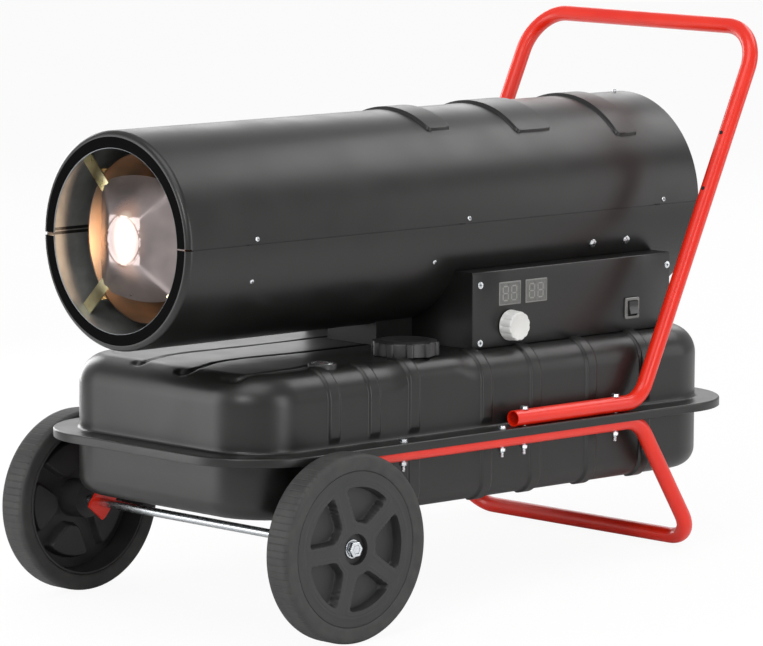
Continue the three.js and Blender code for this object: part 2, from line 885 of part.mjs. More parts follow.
const gaugeLens = () =>
  turnedAboutZ(rod(gaugeDial + 1 - seatGap, gaugeHeight - 1.2 + seatGap, gaugeHeight + 0.6), 20);

// A thin pointer just over the dial, on a boss in its middle.
function gaugePointer() {
  const low = gaugeHeight - 2.6 + seatGap;
  const blade = polygon([
    [-pointerLength / 2 + 2, -2],
    [pointerLength / 2, -0.5],
    [pointerLength / 2, 0.5],
    [-pointerLength / 2 + 2, 2],
  ]);
  return join(flat(blade, 0.6).translate(0, 0, low), turnedAboutZ(rod(3, low, low + 0.9), 12));
}

// The arm swings on the pin at x = 0 .. of the stem, and carries the float at its rear end.
function floatArm() {
  const eye = turnedAboutX(ring(gaugePin + runGap, gaugePin + 3.5, -2, 2), 12);
  const wire = block([-1.2, gaugePin + 2, -1.2], [1.2, floatArmLength, 1.2]);
  const float = turnedAboutX(rod(floatRadius, -floatLength / 2, floatLength / 2), 14);
  return join(eye, wire, float.translate(0, floatArmLength, 0));
}

// The pick-up: a fitting on the tank's top, a tube down into the tank and a filter at its foot.
function fuelPickup() {
  const foot = -tankAboveFlange - tankBelowFlange + 3 * tankWall;
  return turnedAboutZ(
    [
      [0, foot],
      [pickupFilterRadius, foot],
      [pickupFilterRadius, foot + pickupFilterLength],
      [pickupTube, foot + pickupFilterLength + pickupFilterTaper],
      [pickupTube, seatGap],
      [pickupFlange, seatGap],
      [pickupFlange, seatGap + pickupFlangeSheet],
      [pickupFlange / 2, seatGap + pickupFlangeSheet],
      [pickupFlange / 2, seatGap + pickupFitting],
      [hoseBore - seatGap, seatGap + pickupFitting],
      [hoseBore - seatGap, seatGap + pickupFitting + pickupTail],
      [0, seatGap + pickupFitting + pickupTail],
    ],
    12,
  );
}

// ---------------------------------------------------------------------------------------------------------------
// Barrel: drawn about the Y axis with its mouth at y = 0
// ---------------------------------------------------------------------------------------------------------------

function barrelWall() {
  const inner = barrelInner;
  const roll = mouthRoll;
  const outerRoll = [0, 1, 2, 3].map((k) => {
    const angle = (k * Math.PI) / 6;
    return [barrelRadius - roll + roll * Math.cos(angle), roll - roll * Math.sin(angle)];
  });
  return turned(
    [
      [barrelRadius, barrelLength],
      ...outerRoll,
      [mouthRadius, 0],
      [mouthRadius, barrelSheet],
      [barrelRadius - roll, barrelSheet],
      [inner, roll],
      [inner, barrelLength],
    ],
    barrelSides,
  );
}

function raisedBands() {
  return bandsY.map((y, i) => {
    const strap = sector(barrelRadius - 1, barrelRadius + bandHeight, bandStarts[i], 180 - bandStarts[i]);
    return facingY(strap, bandWidths[i], 10).translate(0, y - barrelFront - bandWidths[i] / 2, 0);
  });
}

function barrelShells() {
  const reach = barrelRadius + 2 * bandHeight;
  const half = (sign) => {
    const z = [sign * (seatGap / 2), sign * reach];
    return block([-reach, -1, Math.min(...z)], [reach, barrelLength + 1, Math.max(...z)]);
  };
  const wall = barrelWall();
  const hoseHole = (x, y) =>
    turnedAboutZ(rod(hoseRadius + 2, -reach, -barrelRadius / 2), 12).translate(x, y - barrelFront, 0);
  const holes = [
    hoseHole(pickupX, pickupY),
    hoseHole(airHoseX, pumpHoseY),
    hoseHole(airHoseX, airHoseRise),
  ];
  return [
    piece("barrel_upper_shell", join(common(wall, half(1)), ...raisedBands()), blackPaint()),
    piece("barrel_lower_shell", cut(common(wall, half(-1)), ...holes), blackPaint()),
  ];
}

const chamber = () =>
  turned(ring(chamberRadius - chamberSheet, chamberRadius, chamberFront, chamberRear), chamberSides);

// The pressed plate with four corners that spreads the flame. Its middle stands forward, its sides dip back.
function deflector() {
  const half = deflectorHalf;
  const sheet = new THREE.BoxGeometry(2 * half, deflectorSheet, 2 * half, 6, 1, 6);
  const position = sheet.attributes.position;
  for (let i = 0; i < position.count; i++) {
    const [x, y, z] = [position.getX(i), position.getY(i), position.getZ(i)];
    const out = Math.max(Math.abs(x), Math.abs(z));
    const along = Math.min(Math.abs(x), Math.abs(z)) / half;
    const slope = THREE.MathUtils.clamp((out - deflectorFlat) / (half - deflectorFlat), 0, 1);
    const belly = (out / half) * (1 - along * along);
    const bow = 1 + (deflectorBow / half) * belly;
    position.setXYZ(i, x * bow, y - deflectorRise * (1 - slope) + deflectorDip * belly * slope, z * bow);
  }
  const pieces = [sheet.translate(0, deflectorAt, 0)];
  const inner = deflectorHalf * Math.SQRT2 - 6;
  const face = deflectorAt - deflectorSheet / 2;
  const outside = chamberRadius + seatGap;
  for (let k = 0; k < 4; k++) {
    const angle = Math.PI / 4 + (k * Math.PI) / 2;
    const reach = reachToBarrel(tabWidth);
    const strip = block([inner, face, -tabWidth / 2], [reach, face + deflectorSheet, tabWidth / 2]);
    const hook = block([outside, face, -tabWidth / 2], [outside + 1.5, chamberFront + 14, tabWidth / 2]);
    pieces.push(strip.rotateY(angle), hook.rotateY(angle));
  }
  return join(...pieces);
}

// The chamber's back: a dished plate inside it, with the burner's hole, the igniter's and the sensor's, and a ring
// of four legs round it that holds the chamber in the barrel.
function burnerPlate() {
  const rim = chamberRadius - chamberSheet - seatGap;
  const sheet = chamberSheet;
  const back = burnerPlateAt + sheet;
  const plate = turned(
    [
      [burnerHole, burnerPlateAt],
      [rim, burnerPlateAt],
      [rim, chamberRear + sheet],
      [rim - sheet, chamberRear + sheet],
      [rim - sheet, back],
      [burnerHole, back],
    ],
    chamberSides,
  );
  const bodyHole = (x, radius) =>
    turned(rod(radius, burnerPlateAt - 1, back + 1), 12).translate(x, 0, 0);
  const ringFrom = chamberRear + seatGap;
  const collar = turned(ring(rim - sheet, chamberRadius + 2, ringFrom, ringFrom + sheet), chamberSides);
  const legs = [];
  for (let k = 0; k < 4; k++) {
    const angle = Math.PI / 4 + (k * Math.PI) / 2;
    const reach = reachToBarrel(ringWidth);
    const leg = block([chamberRadius, ringFrom, -ringWidth / 2], [reach, ringFrom + sheet, ringWidth / 2]);
    legs.push(leg.rotateY(angle));
  }
  return cut(
    join(plate, collar, ...legs),
    bodyHole(sideFittingX, igniterRadius + seatGap),
    bodyHole(-sideFittingX, sensorRadius + seatGap),
  );
}

// Nozzle and adapter: a flange on the burner plate, the nozzle through its hole and two hose tails at the back.
function nozzleAdapter() {
  const seat = burnerPlateAt + chamberSheet + seatGap;
  const rear = seat + nozzleLength;
  const body = turned(
    [
      [0, seat - 14],
      [4, seat - 14],
      [nozzleTip, seat - 6],
      [nozzleTip, seat],
      [nozzleFlange, seat],
      [nozzleFlange, seat + 2],
      [nozzleRadius, seat + 2],
      [nozzleRadius, rear],
      [0, rear],
    ],
    16,
  );
  const tails = [-1, 1].map((side) =>
    turned(rod(hoseBore - seatGap, rear - 1, rear + 12), 8).translate(side * nozzleTip, 0, 0),
  );
  return join(body, ...tails);
}

// A ceramic plug with two bent electrodes that reach in front of the nozzle.
function igniter() {
  const seat = burnerPlateAt + chamberSheet + seatGap;
  const body = turned(
    [
      [0, seat - igniterLength / 2],
      [igniterRadius, seat - igniterLength / 2],
      [igniterRadius, seat],
      [igniterRadius + 4, seat],
      [igniterRadius + 4, seat + 3],
      [igniterRadius, seat + 3],
      [igniterRadius, seat + igniterLength / 2],
      [0, seat + igniterLength / 2],
    ],
    14,
  );
  const tipAt = seat - igniterLength / 2;
  const electrode = (z) =>
    join(
      block([-1.2, tipAt - 16, z - 1.2], [1.2, tipAt + 2, z + 1.2]),
      block([-sideFittingX / 2 - 6, tipAt - 16, z - 1.2], [1.2, tipAt - 13.6, z + 1.2]),
    );
  return join(body, electrode(3), electrode(-3));
}

function flameSensor() {
  const seat = burnerPlateAt + chamberSheet + seatGap;
  return turned(
    [
      [0, seat - 4],
      [sensorRadius, seat - 4],
      [sensorRadius, seat],
      [sensorRadius + 4, seat],
      [sensorRadius + 4, seat + 4],
      [sensorRadius, seat + 4],
      [sensorRadius, seat + sensorLength],
      [0, seat + sensorLength],
    ],
    14,
  );
}

// ---------------------------------------------------------------------------------------------------------------
// Fan, motor and air pump on one shaft
// ---------------------------------------------------------------------------------------------------------------

const motorRear = motorAt + motorLength;
const pumpAt = motorRear + seatGap;
const pumpCoverAt = pumpAt + pumpLength + seatGap;
const pumpHoseY = barrelFront + pumpCoverAt + pumpCoverLength / 2;

const shaft = () => turned(rod(shaftRadius, shaftFront, shaftFront + shaftLength), 12);

function fan() {
  const hub = turned(ring(shaftRadius + seatGap, fanHubRadius, 0, fanHubLength), 20);
  const bore = turned(rod(shaftRadius + seatGap, -1, fanHubLength + 1), 12);
  const blades = [];
  for (let k = 0; k < fanBlades; k++) {
    const blade = block(
      [fanHubRadius / 2, -bladeSheet / 2, -bladeChord / 2],
      [fanRadius - 3, bladeSheet / 2, bladeChord / 2],
    );
    blade.rotateX(THREE.MathUtils.degToRad(bladePitch));
    blades.push(blade.translate(0, fanHubLength / 2, 0).rotateY((k * 2 * Math.PI) / fanBlades));
  }
  const sweep = turned(rod(fanRadius, -bladeChord, bladeChord + fanHubLength), 32);
  return cut(common(join(hub, ...blades), sweep), bore).translate(0, fanAt, 0);
}

function motor() {
  const bore = shaftRadius + runGap;
  const neck = motorRadius - 12;
  return turned(
    [
      [bore, motorAt],
      [neck / 2, motorAt],
      [neck / 2, motorAt + 5],
      [neck, motorAt + 5],
      [motorRadius, motorAt + 16],
      [motorRadius, motorRear - 16],
      [neck, motorRear - 5],
      [neck, motorRear],
      [bore, motorRear],
    ],
    20,
  );
}

// Two curved plates and a strip along the barrel's floor cradle the motor.
function motorBracket() {
  const outer = barrelInner - 1;
  const low = 270 - cradleSpan;
  const high = 270 + cradleSpan;
  const plate = sector(motorRadius + seatGap + 0.3, outer, low, high);
  const strip = sector(outer - cradleSheet, outer, low, high);
  const front = motorAt + cradleInset;
  const rear = motorRear - cradleInset - cradleSheet;
  return join(
    facingY(plate, cradleSheet, 10).translate(0, front, 0),
    facingY(plate, cradleSheet, 10).translate(0, rear, 0),
    facingY(strip, rear - front + cradleSheet, 10).translate(0, front, 0),
  );
}

function pumpBody() {
  const outline = new THREE.Shape().absarc(0, 0, pumpRadius, 0, 2 * Math.PI);
  outline.holes.push(new THREE.Path().absarc(0, -pumpOffset, pumpBore, 0, 2 * Math.PI));
  return facingY(outline, pumpLength, 14).translate(0, pumpAt, 0);
}

// The pump's rotor, with the four slots that hold its sliding vanes.
function pumpRotor() {
  const from = pumpAt + 1;
  const to = pumpAt + pumpLength - 1;
  const disc = turned(ring(shaftRadius + seatGap, rotorRadius, from, to), 16);
  const slots = [];
  for (let k = 0; k < 4; k++) {
    const slot = block([rotorRadius - 13, from - 1, -1.5], [rotorRadius + 1, to + 1, 1.5]);
    slots.push(slot.rotateY((k * Math.PI) / 2));
  }
  return cut(disc, ...slots);
}

function pumpCover() {
  const rear = pumpCoverAt + pumpCoverLength;
  const cup = turned(
    [
      [shaftRadius + runGap, pumpCoverAt],
      [pumpRadius, pumpCoverAt],
      [pumpRadius, rear],
      [filterRadius + seatGap, rear],
      [filterRadius + seatGap, rear - filterLength],
      [shaftRadius + runGap, rear - filterLength],
    ],
    20,
  );
  const middle = pumpCoverAt + (pumpCoverLength - filterLength) / 2;
  const tail = turnedAboutZ(rod(hoseBore - seatGap, -pumpRadius - 12, -pumpRadius / 2), 8);
  const boss = turnedAboutZ(rod(hoseRadius + 1.5, -pumpRadius - 2, -pumpRadius / 2), 10);
  const shift = pumpHoseY - barrelFront;
  const bossX = airHoseX;
  const clear = block(
    [-pumpRadius, middle + (pumpCoverLength - filterLength) / 2, -pumpRadius],
    [pumpRadius, rear + 1, -pumpRadius * 0.3],
  );
  const round = turned(rod(filterRadius + seatGap, rear - filterLength, rear + 1), 20);
  return join(
    cup,
    cut(join(tail, boss).translate(bossX, shift, 0), common(clear, round)),
  );
}

const airFilter = () => {
  const rear = pumpCoverAt + pumpCoverLength;
  return turned(ring(6, filterRadius, rear - filterLength + seatGap, rear - seatGap), 20);
};

// Rings of wire on crossed bars close the barrel's rear end.
function rearGuard() {
  const wire = guardWire;
  const outer = barrelInner - 1;
  const parts = [];
  for (let k = 0; k < guardRings; k++) {
    const radius = (outer * (guardRings - k)) / guardRings;
    parts.push(turned(ring(radius - wire, radius, guardAt, guardAt + wire), k ? 16 : 30));
  }
  for (let k = 0; k < guardBars; k++) {
    const bar = block([-outer + 2, guardAt, -wire / 2], [outer - 2, guardAt + wire, wire / 2]);
    parts.push(bar.rotateY((k * Math.PI) / guardBars));
  }
  return join(...parts);
}

// ---------------------------------------------------------------------------------------------------------------
// Control box between tank and barrel: drawn with the tank's top at z = 0 and the box's front wall at y = 0
// ---------------------------------------------------------------------------------------------------------------

const boxBarrelZ = barrelAxis - tankTop; // the barrel's axis above the tank's top
const barrelRoom = (extra) =>
  turned(rod(barrelRadius + extra, -50, boxLength + 50), barrelSides).translate(0, 0, boxBarrelZ);

function panelHoleAt(y, z, width, height) {
  const deep = 4 * boxSheet;
  return block(
    [boxHalfWidth - deep, y - boxFront - width / 2, z - height / 2],
    [boxHalfWidth + deep, y - boxFront + width / 2, z + height / 2],
  );
}

function controlBox() {
  const x = boxHalfWidth;
  const y = boxLength;
  const s = boxSheet;
  const low = seatGap;
  const inside = x - s - seatGap; // behind the panel
  const underLip = boxHeight - s - seatGap; // below the panel's folded lip
  const lipInner = Math.sqrt((barrelRadius + panelLipGap) ** 2 - (boxBarrelZ - boxHeight) ** 2);
  const walls = join(
    block([-x, 0, low], [inside, y, low + s]),
    block([-x, 0, low], [0, s, boxHeight]),
    block([0, 0, low], [inside, s, underLip]),
    block([-x, y - s, low], [0, y, boxHeight]),
    block([0, y - s, low], [inside, y, underLip]),
    block([-x, 0, low], [-x + s, y, boxHeight]),
    block([-x, 0, boxHeight - s], [-lipInner, y, boxHeight]),
    block([inside - s, 0, low], [inside, boxReturn, underLip]),
    block([inside - s, y - boxReturn, low], [inside, y, underLip]),
  );
  const pickupHole = turnedAboutZ(rod(pickupFlange + 1, -5, 5), 16).translate(pickupX, pickupY - boxFront, 0);
  const glandHole = turned(rod(glandRadius - 2 + seatGap, y - 5, y + 5), 16).translate(glandX, 0, glandZ);
  return cut(walls, barrelRoom(panelLipGap), pickupHole, glandHole);
}

function controlPanel() {
  const x = boxHalfWidth;
  const s = boxSheet;
  const lipInner = Math.sqrt((barrelRadius + panelLipGap) ** 2 - (boxBarrelZ - boxHeight) ** 2);
  const sheet = join(
    block([x - s, 0, 2 * seatGap], [x, boxLength, boxHeight]),
    block([lipInner, 0, boxHeight - s], [x, boxLength, boxHeight]),
  );
  const slack = 2 * seatGap;
  const cuts = displaysY.map((y) => panelHoleAt(y, displayZ, displayWidth + slack, displayHeight + slack));
  cuts.push(panelHoleAt(switchY, switchZ, switchWidth - 4 + slack, switchHeight - 4 + slack));
  const spindleHole = turnedAboutX(rod(4 + seatGap, x - 5, x + 5), 12);
  cuts.push(spindleHole.translate(0, knobY - boxFront, knobZ));
  return cut(sheet, barrelRoom(panelLipGap), ...cuts);
}

const display = () => block([0, -displayWidth / 2, -displayHeight / 2], [displayDepth, displayWidth / 2, displayHeight / 2]);

// The board stands behind the panel on four posts, with a round hole for the thermostat.
function controlBoard() {
  const half = boardWidth / 2;
  const top = boardHeight / 2;
  const face = displayDepth + seatGap;
  const sheet = block([-face - boardSheet, -half, -top], [-face, half, top]);
  const posts = [];
  for (const y of [-half + 6, half - 6]) {
    for (const z of [-top + 6, top - 6]) {
      posts.push(turnedAboutX(rod(3, -face - 0.5, -boxSheet - seatGap), 8).translate(0, y, z));
    }
  }
  return join(sheet, ...posts);
}

// A rotary thermostat behind the panel, its threaded bush through it.
function thermostat() {
  const back = -boxSheet - seatGap;
  return turnedAboutX(
    [
      [0, back - potDepth],
      [potRadius, back - potDepth],
      [potRadius, back],
      [4, back],
      [4, seatGap],
      [spindleRadius, seatGap],
      [spindleRadius, spindleLength],
      [0, spindleLength],
    ],
    16,
  );
}

// The knob has flutes round its grip and sits on the thermostat's spindle.
function knob() {
  const back = seatGap + 0.7;
  const front = back + knobDepth;
  const body = turnedAboutX(
    [
      [spindleRadius + runGap, back],
      [knobRadius, back],
      [knobRadius, front - 2],
      [knobRadius - 2, front],
      [0, front],
      [0, spindleLength + runGap],
      [spindleRadius + runGap, spindleLength + runGap],
    ],
    2 * knobFlutes,
  );
  const flutes = [];
  for (let k = 0; k < knobFlutes; k++) {
    const angle = (k * 2 * Math.PI) / knobFlutes;
    const flute = turnedAboutX(rod(3, back + 3, front + 1), 6);
    const reach = knobRadius + 1.4;
    flutes.push(flute.translate(0, reach * Math.cos(angle), reach * Math.sin(angle)));
  }
  return cut(body, ...flutes);
}

function switchHousing() {
  const width = switchWidth;
  const height = switchHeight;
  const well = seatGap + switchBezel;
  const bezel = block([seatGap, -width / 2, -height / 2], [well, width / 2, height / 2]);
  const body = block([-switchDepth, -width / 2 + 2, -height / 2 + 2], [seatGap + 1, width / 2 - 2, height / 2 - 2]);
  const room = block(
    [-13, -rockerWidth / 2 - runGap, -rockerHeight / 2 - 1],
    [well + 1, rockerWidth / 2 + runGap, rockerHeight / 2 + 1],
  );
  return cut(join(bezel, body), room);
}

// The rocker is drawn level about its pivot, and stands tipped to one side by half its throw.
function rocker() {
  const half = rockerHeight / 2;
  const face = 9.5;
  const outline = polygon([
    [-half + 1.5, -1],
    [-3, -3],
    [3, -3],
    [half - 1.5, -1],
    [half - 0.5, face],
    [0, face - 1.6],
    [-half + 0.5, face],
  ]);
  const side = flat(outline, rockerWidth).translate(0, 0, -rockerWidth / 2);
  return side.rotateX(Math.PI / 2).rotateY(Math.PI / 2);
}

const ignitionTransformer = () => {
  const [x, y, z] = transformerSize;
  const can = block([-x / 2, -y / 2, 0], [x / 2, y / 2, z]);
  const terminal = turned(rod(6, -y / 2 - 14, -y / 2 + 1), 12).translate(0, 0, z / 2);
  return join(can, terminal);
};

// The mains inlet: a gland with its nut inside the box's rear wall. Its bore is empty.
function cordGland() {
  const outside = seatGap;
  const inside = -boxSheet - seatGap;
  return turned(
    [
      [glandBore, inside - 5],
      [glandRadius + 2, inside - 5],
      [glandRadius + 2, inside],
      [glandRadius - 2, inside],
      [glandRadius - 2, outside],
      [glandRadius + 2, outside],
      [glandRadius + 2, outside + 6],
      [glandRadius, outside + 8],
      [glandRadius - 2, outside + 18],
      [glandBore, outside + 18],
    ],
    12,
  );
}

// A folded sheet stands on the tank's top and carries the barrel's front third.
function frontSupport() {
  const w = supportHalfWidth;
  const depth = boxFront - supportFront - seatGap;
  const face = block([-w, 0, seatGap], [w, boxSheet, boxBarrelZ]);
  const sides = [-w, w - boxSheet].map((x) => block([x, 0, seatGap], [x + boxSheet, depth, boxBarrelZ]));
  const foot = block([-w, 0, seatGap], [w, depth, seatGap + boxSheet]);
  return cut(join(face, foot, ...sides), barrelRoom(seatGap));
}

// ---------------------------------------------------------------------------------------------------------------
// Hoses, in the heater's frame
// ---------------------------------------------------------------------------------------------------------------

const nozzleRear = barrelFront + burnerPlateAt + chamberSheet + seatGap + nozzleLength;

function fuelHose() {
  const line = new BentLine(
    [
      vec(pickupX, pickupY, tankTop + seatGap + pickupFitting + seatGap),
      vec(pickupX, pickupY, barrelAxis - 22),
      vec(-nozzleTip, pickupY - 34, barrelAxis),
      vec(-nozzleTip, nozzleRear + seatGap, barrelAxis),
    ],
    [hoseBend, hoseBend],
  );
  return pipe(line, hoseRadius, around(hoseBore, 8), 8, 8);
}

function airHose() {
  const start = barrelAxis - pumpRadius - 2 - seatGap;
  const run = tankTop + airHoseZ;
  const line = new BentLine(
    [
      vec(airHoseX, pumpHoseY, start),
      vec(airHoseX, pumpHoseY, run),
      vec(airHoseX, airHoseRise, run),
      vec(airHoseX, airHoseRise, barrelAxis - 30),
      vec(nozzleTip, airHoseRise - 48, barrelAxis),
      vec(nozzleTip, nozzleRear + seatGap, barrelAxis),
    ],
    [hoseBend, hoseBend, hoseBend, hoseBend],
  );
  return pipe(line, hoseRadius, around(hoseBore, 8), 8, 8);
}

// ---------------------------------------------------------------------------------------------------------------
// The heater
// ---------------------------------------------------------------------------------------------------------------

function tankGroup() {
  const top = tankAboveFlange;
  const arm = piece("float_arm", floatArm(), brass(), [gaugeStem + 4, 0, gaugePivot]);
  const pointer = piece("gauge_pointer", gaugePointer(), redPaint());
  arm.rotation.x = THREE.MathUtils.degToRad(floatRest);
  pointer.rotation.z = THREE.MathUtils.degToRad(floatRest);
  return group(
    [0, tankMiddle, flangeTop],
    ...tankShells(),
    piece("drain_plug", drainPlug(), zincPlate(), [drainX, drainY - tankMiddle, -tankBelowFlange]),
    group(
      [fillerX, fillerY - tankMiddle, top],
      piece("filler_neck", fillerNeck(), zincPlate()),
      piece("fuel_strainer", strainer(), bareSteel()),
      piece("cap_gasket", capGasket(), rubber()),
      piece("fuel_cap", fuelCap(), blackPlastic()),
    ),
    group(
      [gaugeX, gaugeY - tankMiddle, top],
      piece("gauge_body", gaugeBody(), blackPlastic()),
      piece("gauge_lens", gaugeLens(), clearPlastic()),
      pointer,
      arm,
    ),
    piece("fuel_pickup", fuelPickup(), brass(), [pickupX, pickupY - tankMiddle, top]),
  );
}

function barrelGroup() {
  return group(
    [0, barrelFront, barrelAxis],
    ...barrelShells(),
    piece("combustion_chamber", chamber(), heatedSteel()),
    piece("flame_deflector", deflector(), heatedSteel()),
    piece("burner_plate", burnerPlate(), bareSteel()),
    piece("nozzle_adapter", nozzleAdapter(), brass()),
    piece("spark_igniter", igniter(), palePlastic(), [sideFittingX, 0, 0]),
    piece("flame_sensor", flameSensor(), blackPlastic(), [-sideFittingX, 0, 0]),
    piece("fan", fan(), castAluminium()),
    piece("motor_shaft", shaft(), bareSteel()),
    piece("motor", motor(), bareSteel()),
    piece("motor_bracket", motorBracket(), zincPlate()),
    piece("pump_body", pumpBody(), castAluminium()),
    piece("pump_rotor", pumpRotor(), bareSteel()),
    piece("pump_cover", pumpCover(), castAluminium()),
    piece("air_filter", airFilter(), foam()),
    piece("rear_guard", rearGuard(), zincPlate()),
  );
}

function boxGroup() {
  const behindPanel = boxHalfWidth;
  const onPanel = (y, z, x = behindPanel) => [x, y - boxFront, z];
  const boardMiddle = (displaysY[0] + displaysY[1]) / 2 + 7;
  const pivot = -3;
  const rockerPiece = piece("rocker", rocker(), blackPlastic(), onPanel(switchY, switchZ, behindPanel + pivot));
  rockerPiece.rotation.y = THREE.MathUtils.degToRad(-rockerThrow / 2);
  return group(
    [0, boxFront, tankTop],
    piece("control_box", controlBox(), blackPaint()),
    piece("control_panel", controlPanel(), blackPaint()),
    piece("control_board", controlBoard(), boardGreen(), onPanel(boardMiddle, displayZ - 6)),
    piece("display_left", display(), displayWindow(), onPanel(displaysY[0], displayZ, behindPanel - displayDepth)),
    piece("display_right", display(), displayWindow(), onPanel(displaysY[1], displayZ, behindPanel - displayDepth)),
    piece("thermostat", thermostat(), blackPlastic(), onPanel(knobY, knobZ)),
    piece("knob", knob(), palePlastic(), onPanel(knobY, knobZ)),
    piece("switch_housing", switchHousing(), blackPlastic(), onPanel(switchY, switchZ)),
    rockerPiece,
    piece("ignition_transformer", ignitionTransformer(), blackPlastic(), [
      -boxHalfWidth + transformerFromWall,
      transformerY - boxFront,
      2 * seatGap + boxSheet,
    ]),
    piece("cord_gland", cordGland(), blackPlastic(), [glandX, boxLength, glandZ]),
    piece("front_support", frontSupport(), blackPaint(), [0, supportFront - boxFront, 0]),
  );
}

function heater() {
  const chassis = group(
    [0, 0, 0],
    tankGroup(),
    barrelGroup(),
    boxGroup(),
    piece("handle_tube", handle(), redPaint()),
    piece("lower_frame_tube", lowerFrame(), redPaint()),
    ...bolts(),
    piece("fuel_hose", fuelHose(), rubber()),
    piece("air_hose", airHose(), rubber()),
  );
  chassis.rotation.x = -lean;
  const running = group([0, 0, 0], piece("axle_rod", axle(), zincPlate()), wheelSet(1, "near"), wheelSet(-1, "far"));
  const whole = group([0, 0, 0], chassis, running);
  whole.updateMatrixWorld(true);
  const box = new THREE.Box3().setFromObject(whole, true);
  whole.position.set(0, -(box.min.y + box.max.y) / 2, -box.min.z);
  return group([0, 0, 0], whole);
}

export default heater();
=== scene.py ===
# %% [markdown]
# # Dressing a forced air heater
# The heater is a burner in a steel barrel, which stands on a fuel tank with two wheels. Its solid parts
# come in as a fixed frame with the right sizes but with plain facets. In this lesson each visible part gets
# a fine mesh and a finish: satin black powder coat on the pressed steel, gloss red on the bent tubes,
# moulded plastic on the wheels. The frame says where everything goes, so every piece below is drawn in the
# heater's own millimetres.

import json
import math

import bpy
import numpy as np
from mathutils import Matrix, Vector


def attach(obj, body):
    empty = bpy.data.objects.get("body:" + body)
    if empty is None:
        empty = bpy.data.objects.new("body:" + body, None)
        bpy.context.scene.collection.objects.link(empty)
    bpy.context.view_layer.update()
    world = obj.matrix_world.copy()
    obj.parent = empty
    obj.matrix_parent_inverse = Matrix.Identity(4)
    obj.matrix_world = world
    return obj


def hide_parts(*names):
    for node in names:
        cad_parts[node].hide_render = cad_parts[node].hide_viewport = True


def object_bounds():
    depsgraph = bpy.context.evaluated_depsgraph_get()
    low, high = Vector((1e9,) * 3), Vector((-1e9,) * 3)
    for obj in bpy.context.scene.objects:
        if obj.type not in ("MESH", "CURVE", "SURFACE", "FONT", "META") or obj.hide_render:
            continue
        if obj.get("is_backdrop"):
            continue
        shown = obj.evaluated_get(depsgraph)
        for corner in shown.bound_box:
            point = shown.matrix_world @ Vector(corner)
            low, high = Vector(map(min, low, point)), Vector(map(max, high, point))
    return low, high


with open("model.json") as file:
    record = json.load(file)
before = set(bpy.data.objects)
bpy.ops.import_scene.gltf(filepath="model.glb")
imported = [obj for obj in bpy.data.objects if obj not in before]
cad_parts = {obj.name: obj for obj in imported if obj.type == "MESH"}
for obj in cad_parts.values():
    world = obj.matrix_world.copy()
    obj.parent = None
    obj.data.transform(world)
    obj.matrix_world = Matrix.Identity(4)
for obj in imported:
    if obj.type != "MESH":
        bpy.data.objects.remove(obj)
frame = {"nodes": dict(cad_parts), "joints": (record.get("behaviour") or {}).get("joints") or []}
cad_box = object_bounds()
print("nodes in the frame:", len(frame["nodes"]))

# %% [markdown]
# The heater leans back a little: the wheels hold its front higher than the stand holds its rear. The fan
# turns about the barrel's length, so the fan's axis shows the lean, and the wheels' axis shows the one
# point that the lean turns about. All drawing below is done level, in millimetres from the middle of the
# axle, and this cell's function sets it down.

# %% From level millimetres to the leaning heater's metres
joints = {joint["name"]: joint for joint in frame["joints"]}
fan_axis = joints["fan_spin"]["axis"]
axle_place = joints["near_wheel_spin"]["pos_m"]
LEAN = math.atan2(-fan_axis[2], fan_axis[1])
AXLE = np.array([0.0, axle_place[1], axle_place[2]])
AXLE_MM = AXLE * 1000
LEAN_MATRIX = np.array(
    [
        [1.0, 0.0, 0.0],
        [0.0, math.cos(LEAN), math.sin(LEAN)],
        [0.0, -math.sin(LEAN), math.cos(LEAN)],
    ]
)


def set_down(points):
    return np.asarray(points, float).reshape(-1, 3) @ LEAN_MATRIX.T / 1000 + AXLE


print("lean in degrees:", round(math.degrees(LEAN), 2))

# %% [markdown]
# The camera stands where the photographer's did: about six metres away with a long lens, to the right of
# the outlet and a little above. A long lens from far off keeps the tank's edges nearly parallel, which a
# short lens would not.

# %% Camera
CAMERA_PLACE = (5159.27, -4647.5, 1168.3)
CAMERA_AZIMUTH = math.radians(46.107)
CAMERA_HEIGHT_ANGLE = math.radians(7.374)
CAMERA_ROLL = math.radians(0.399)
LENS_PIXELS = 5265.0
IMAGE_WIDTH = 763


def camera_axes():
    a, e, r = CAMERA_AZIMUTH, CAMERA_HEIGHT_ANGLE, CAMERA_ROLL
    back = np.array([math.sin(a) * math.cos(e), -math.cos(a) * math.cos(e), math.sin(e)])
    right = np.array([math.cos(a), math.sin(a), 0.0])
    up = np.cross(back, right)
    rolled_right = math.cos(r) * right + math.sin(r) * up
    rolled_up = -math.sin(r) * right + math.cos(r) * up
    return [LEAN_MATRIX @ axis for axis in (rolled_right, rolled_up, back)]


lens = bpy.data.cameras.new("long_lens")
lens.sensor_width = 36
lens.lens = 36 * LENS_PIXELS / IMAGE_WIDTH
lens.clip_end = 60
camera = bpy.data.objects.new("camera", lens)
bpy.context.scene.collection.objects.link(camera)
axes = camera_axes()
turn = Matrix([[axes[column][row] for column in range(3)] for row in range(3)])
camera.matrix_world = Matrix.Translation(set_down(CAMERA_PLACE)[0]) @ turn.to_4x4()
bpy.context.scene.camera = camera
bpy.context.scene.view_settings.view_transform = "Standard"
print("lens in mm:", round(lens.lens, 1))

# %% [markdown]
# Each piece is a mesh made from a list of points and faces. One function makes the object, gives it its
# material, hangs it on the moving body that it belongs to and says which plain solids it stands for. Smooth
# shading with a limit angle keeps round sheet metal round and its folds crisp.


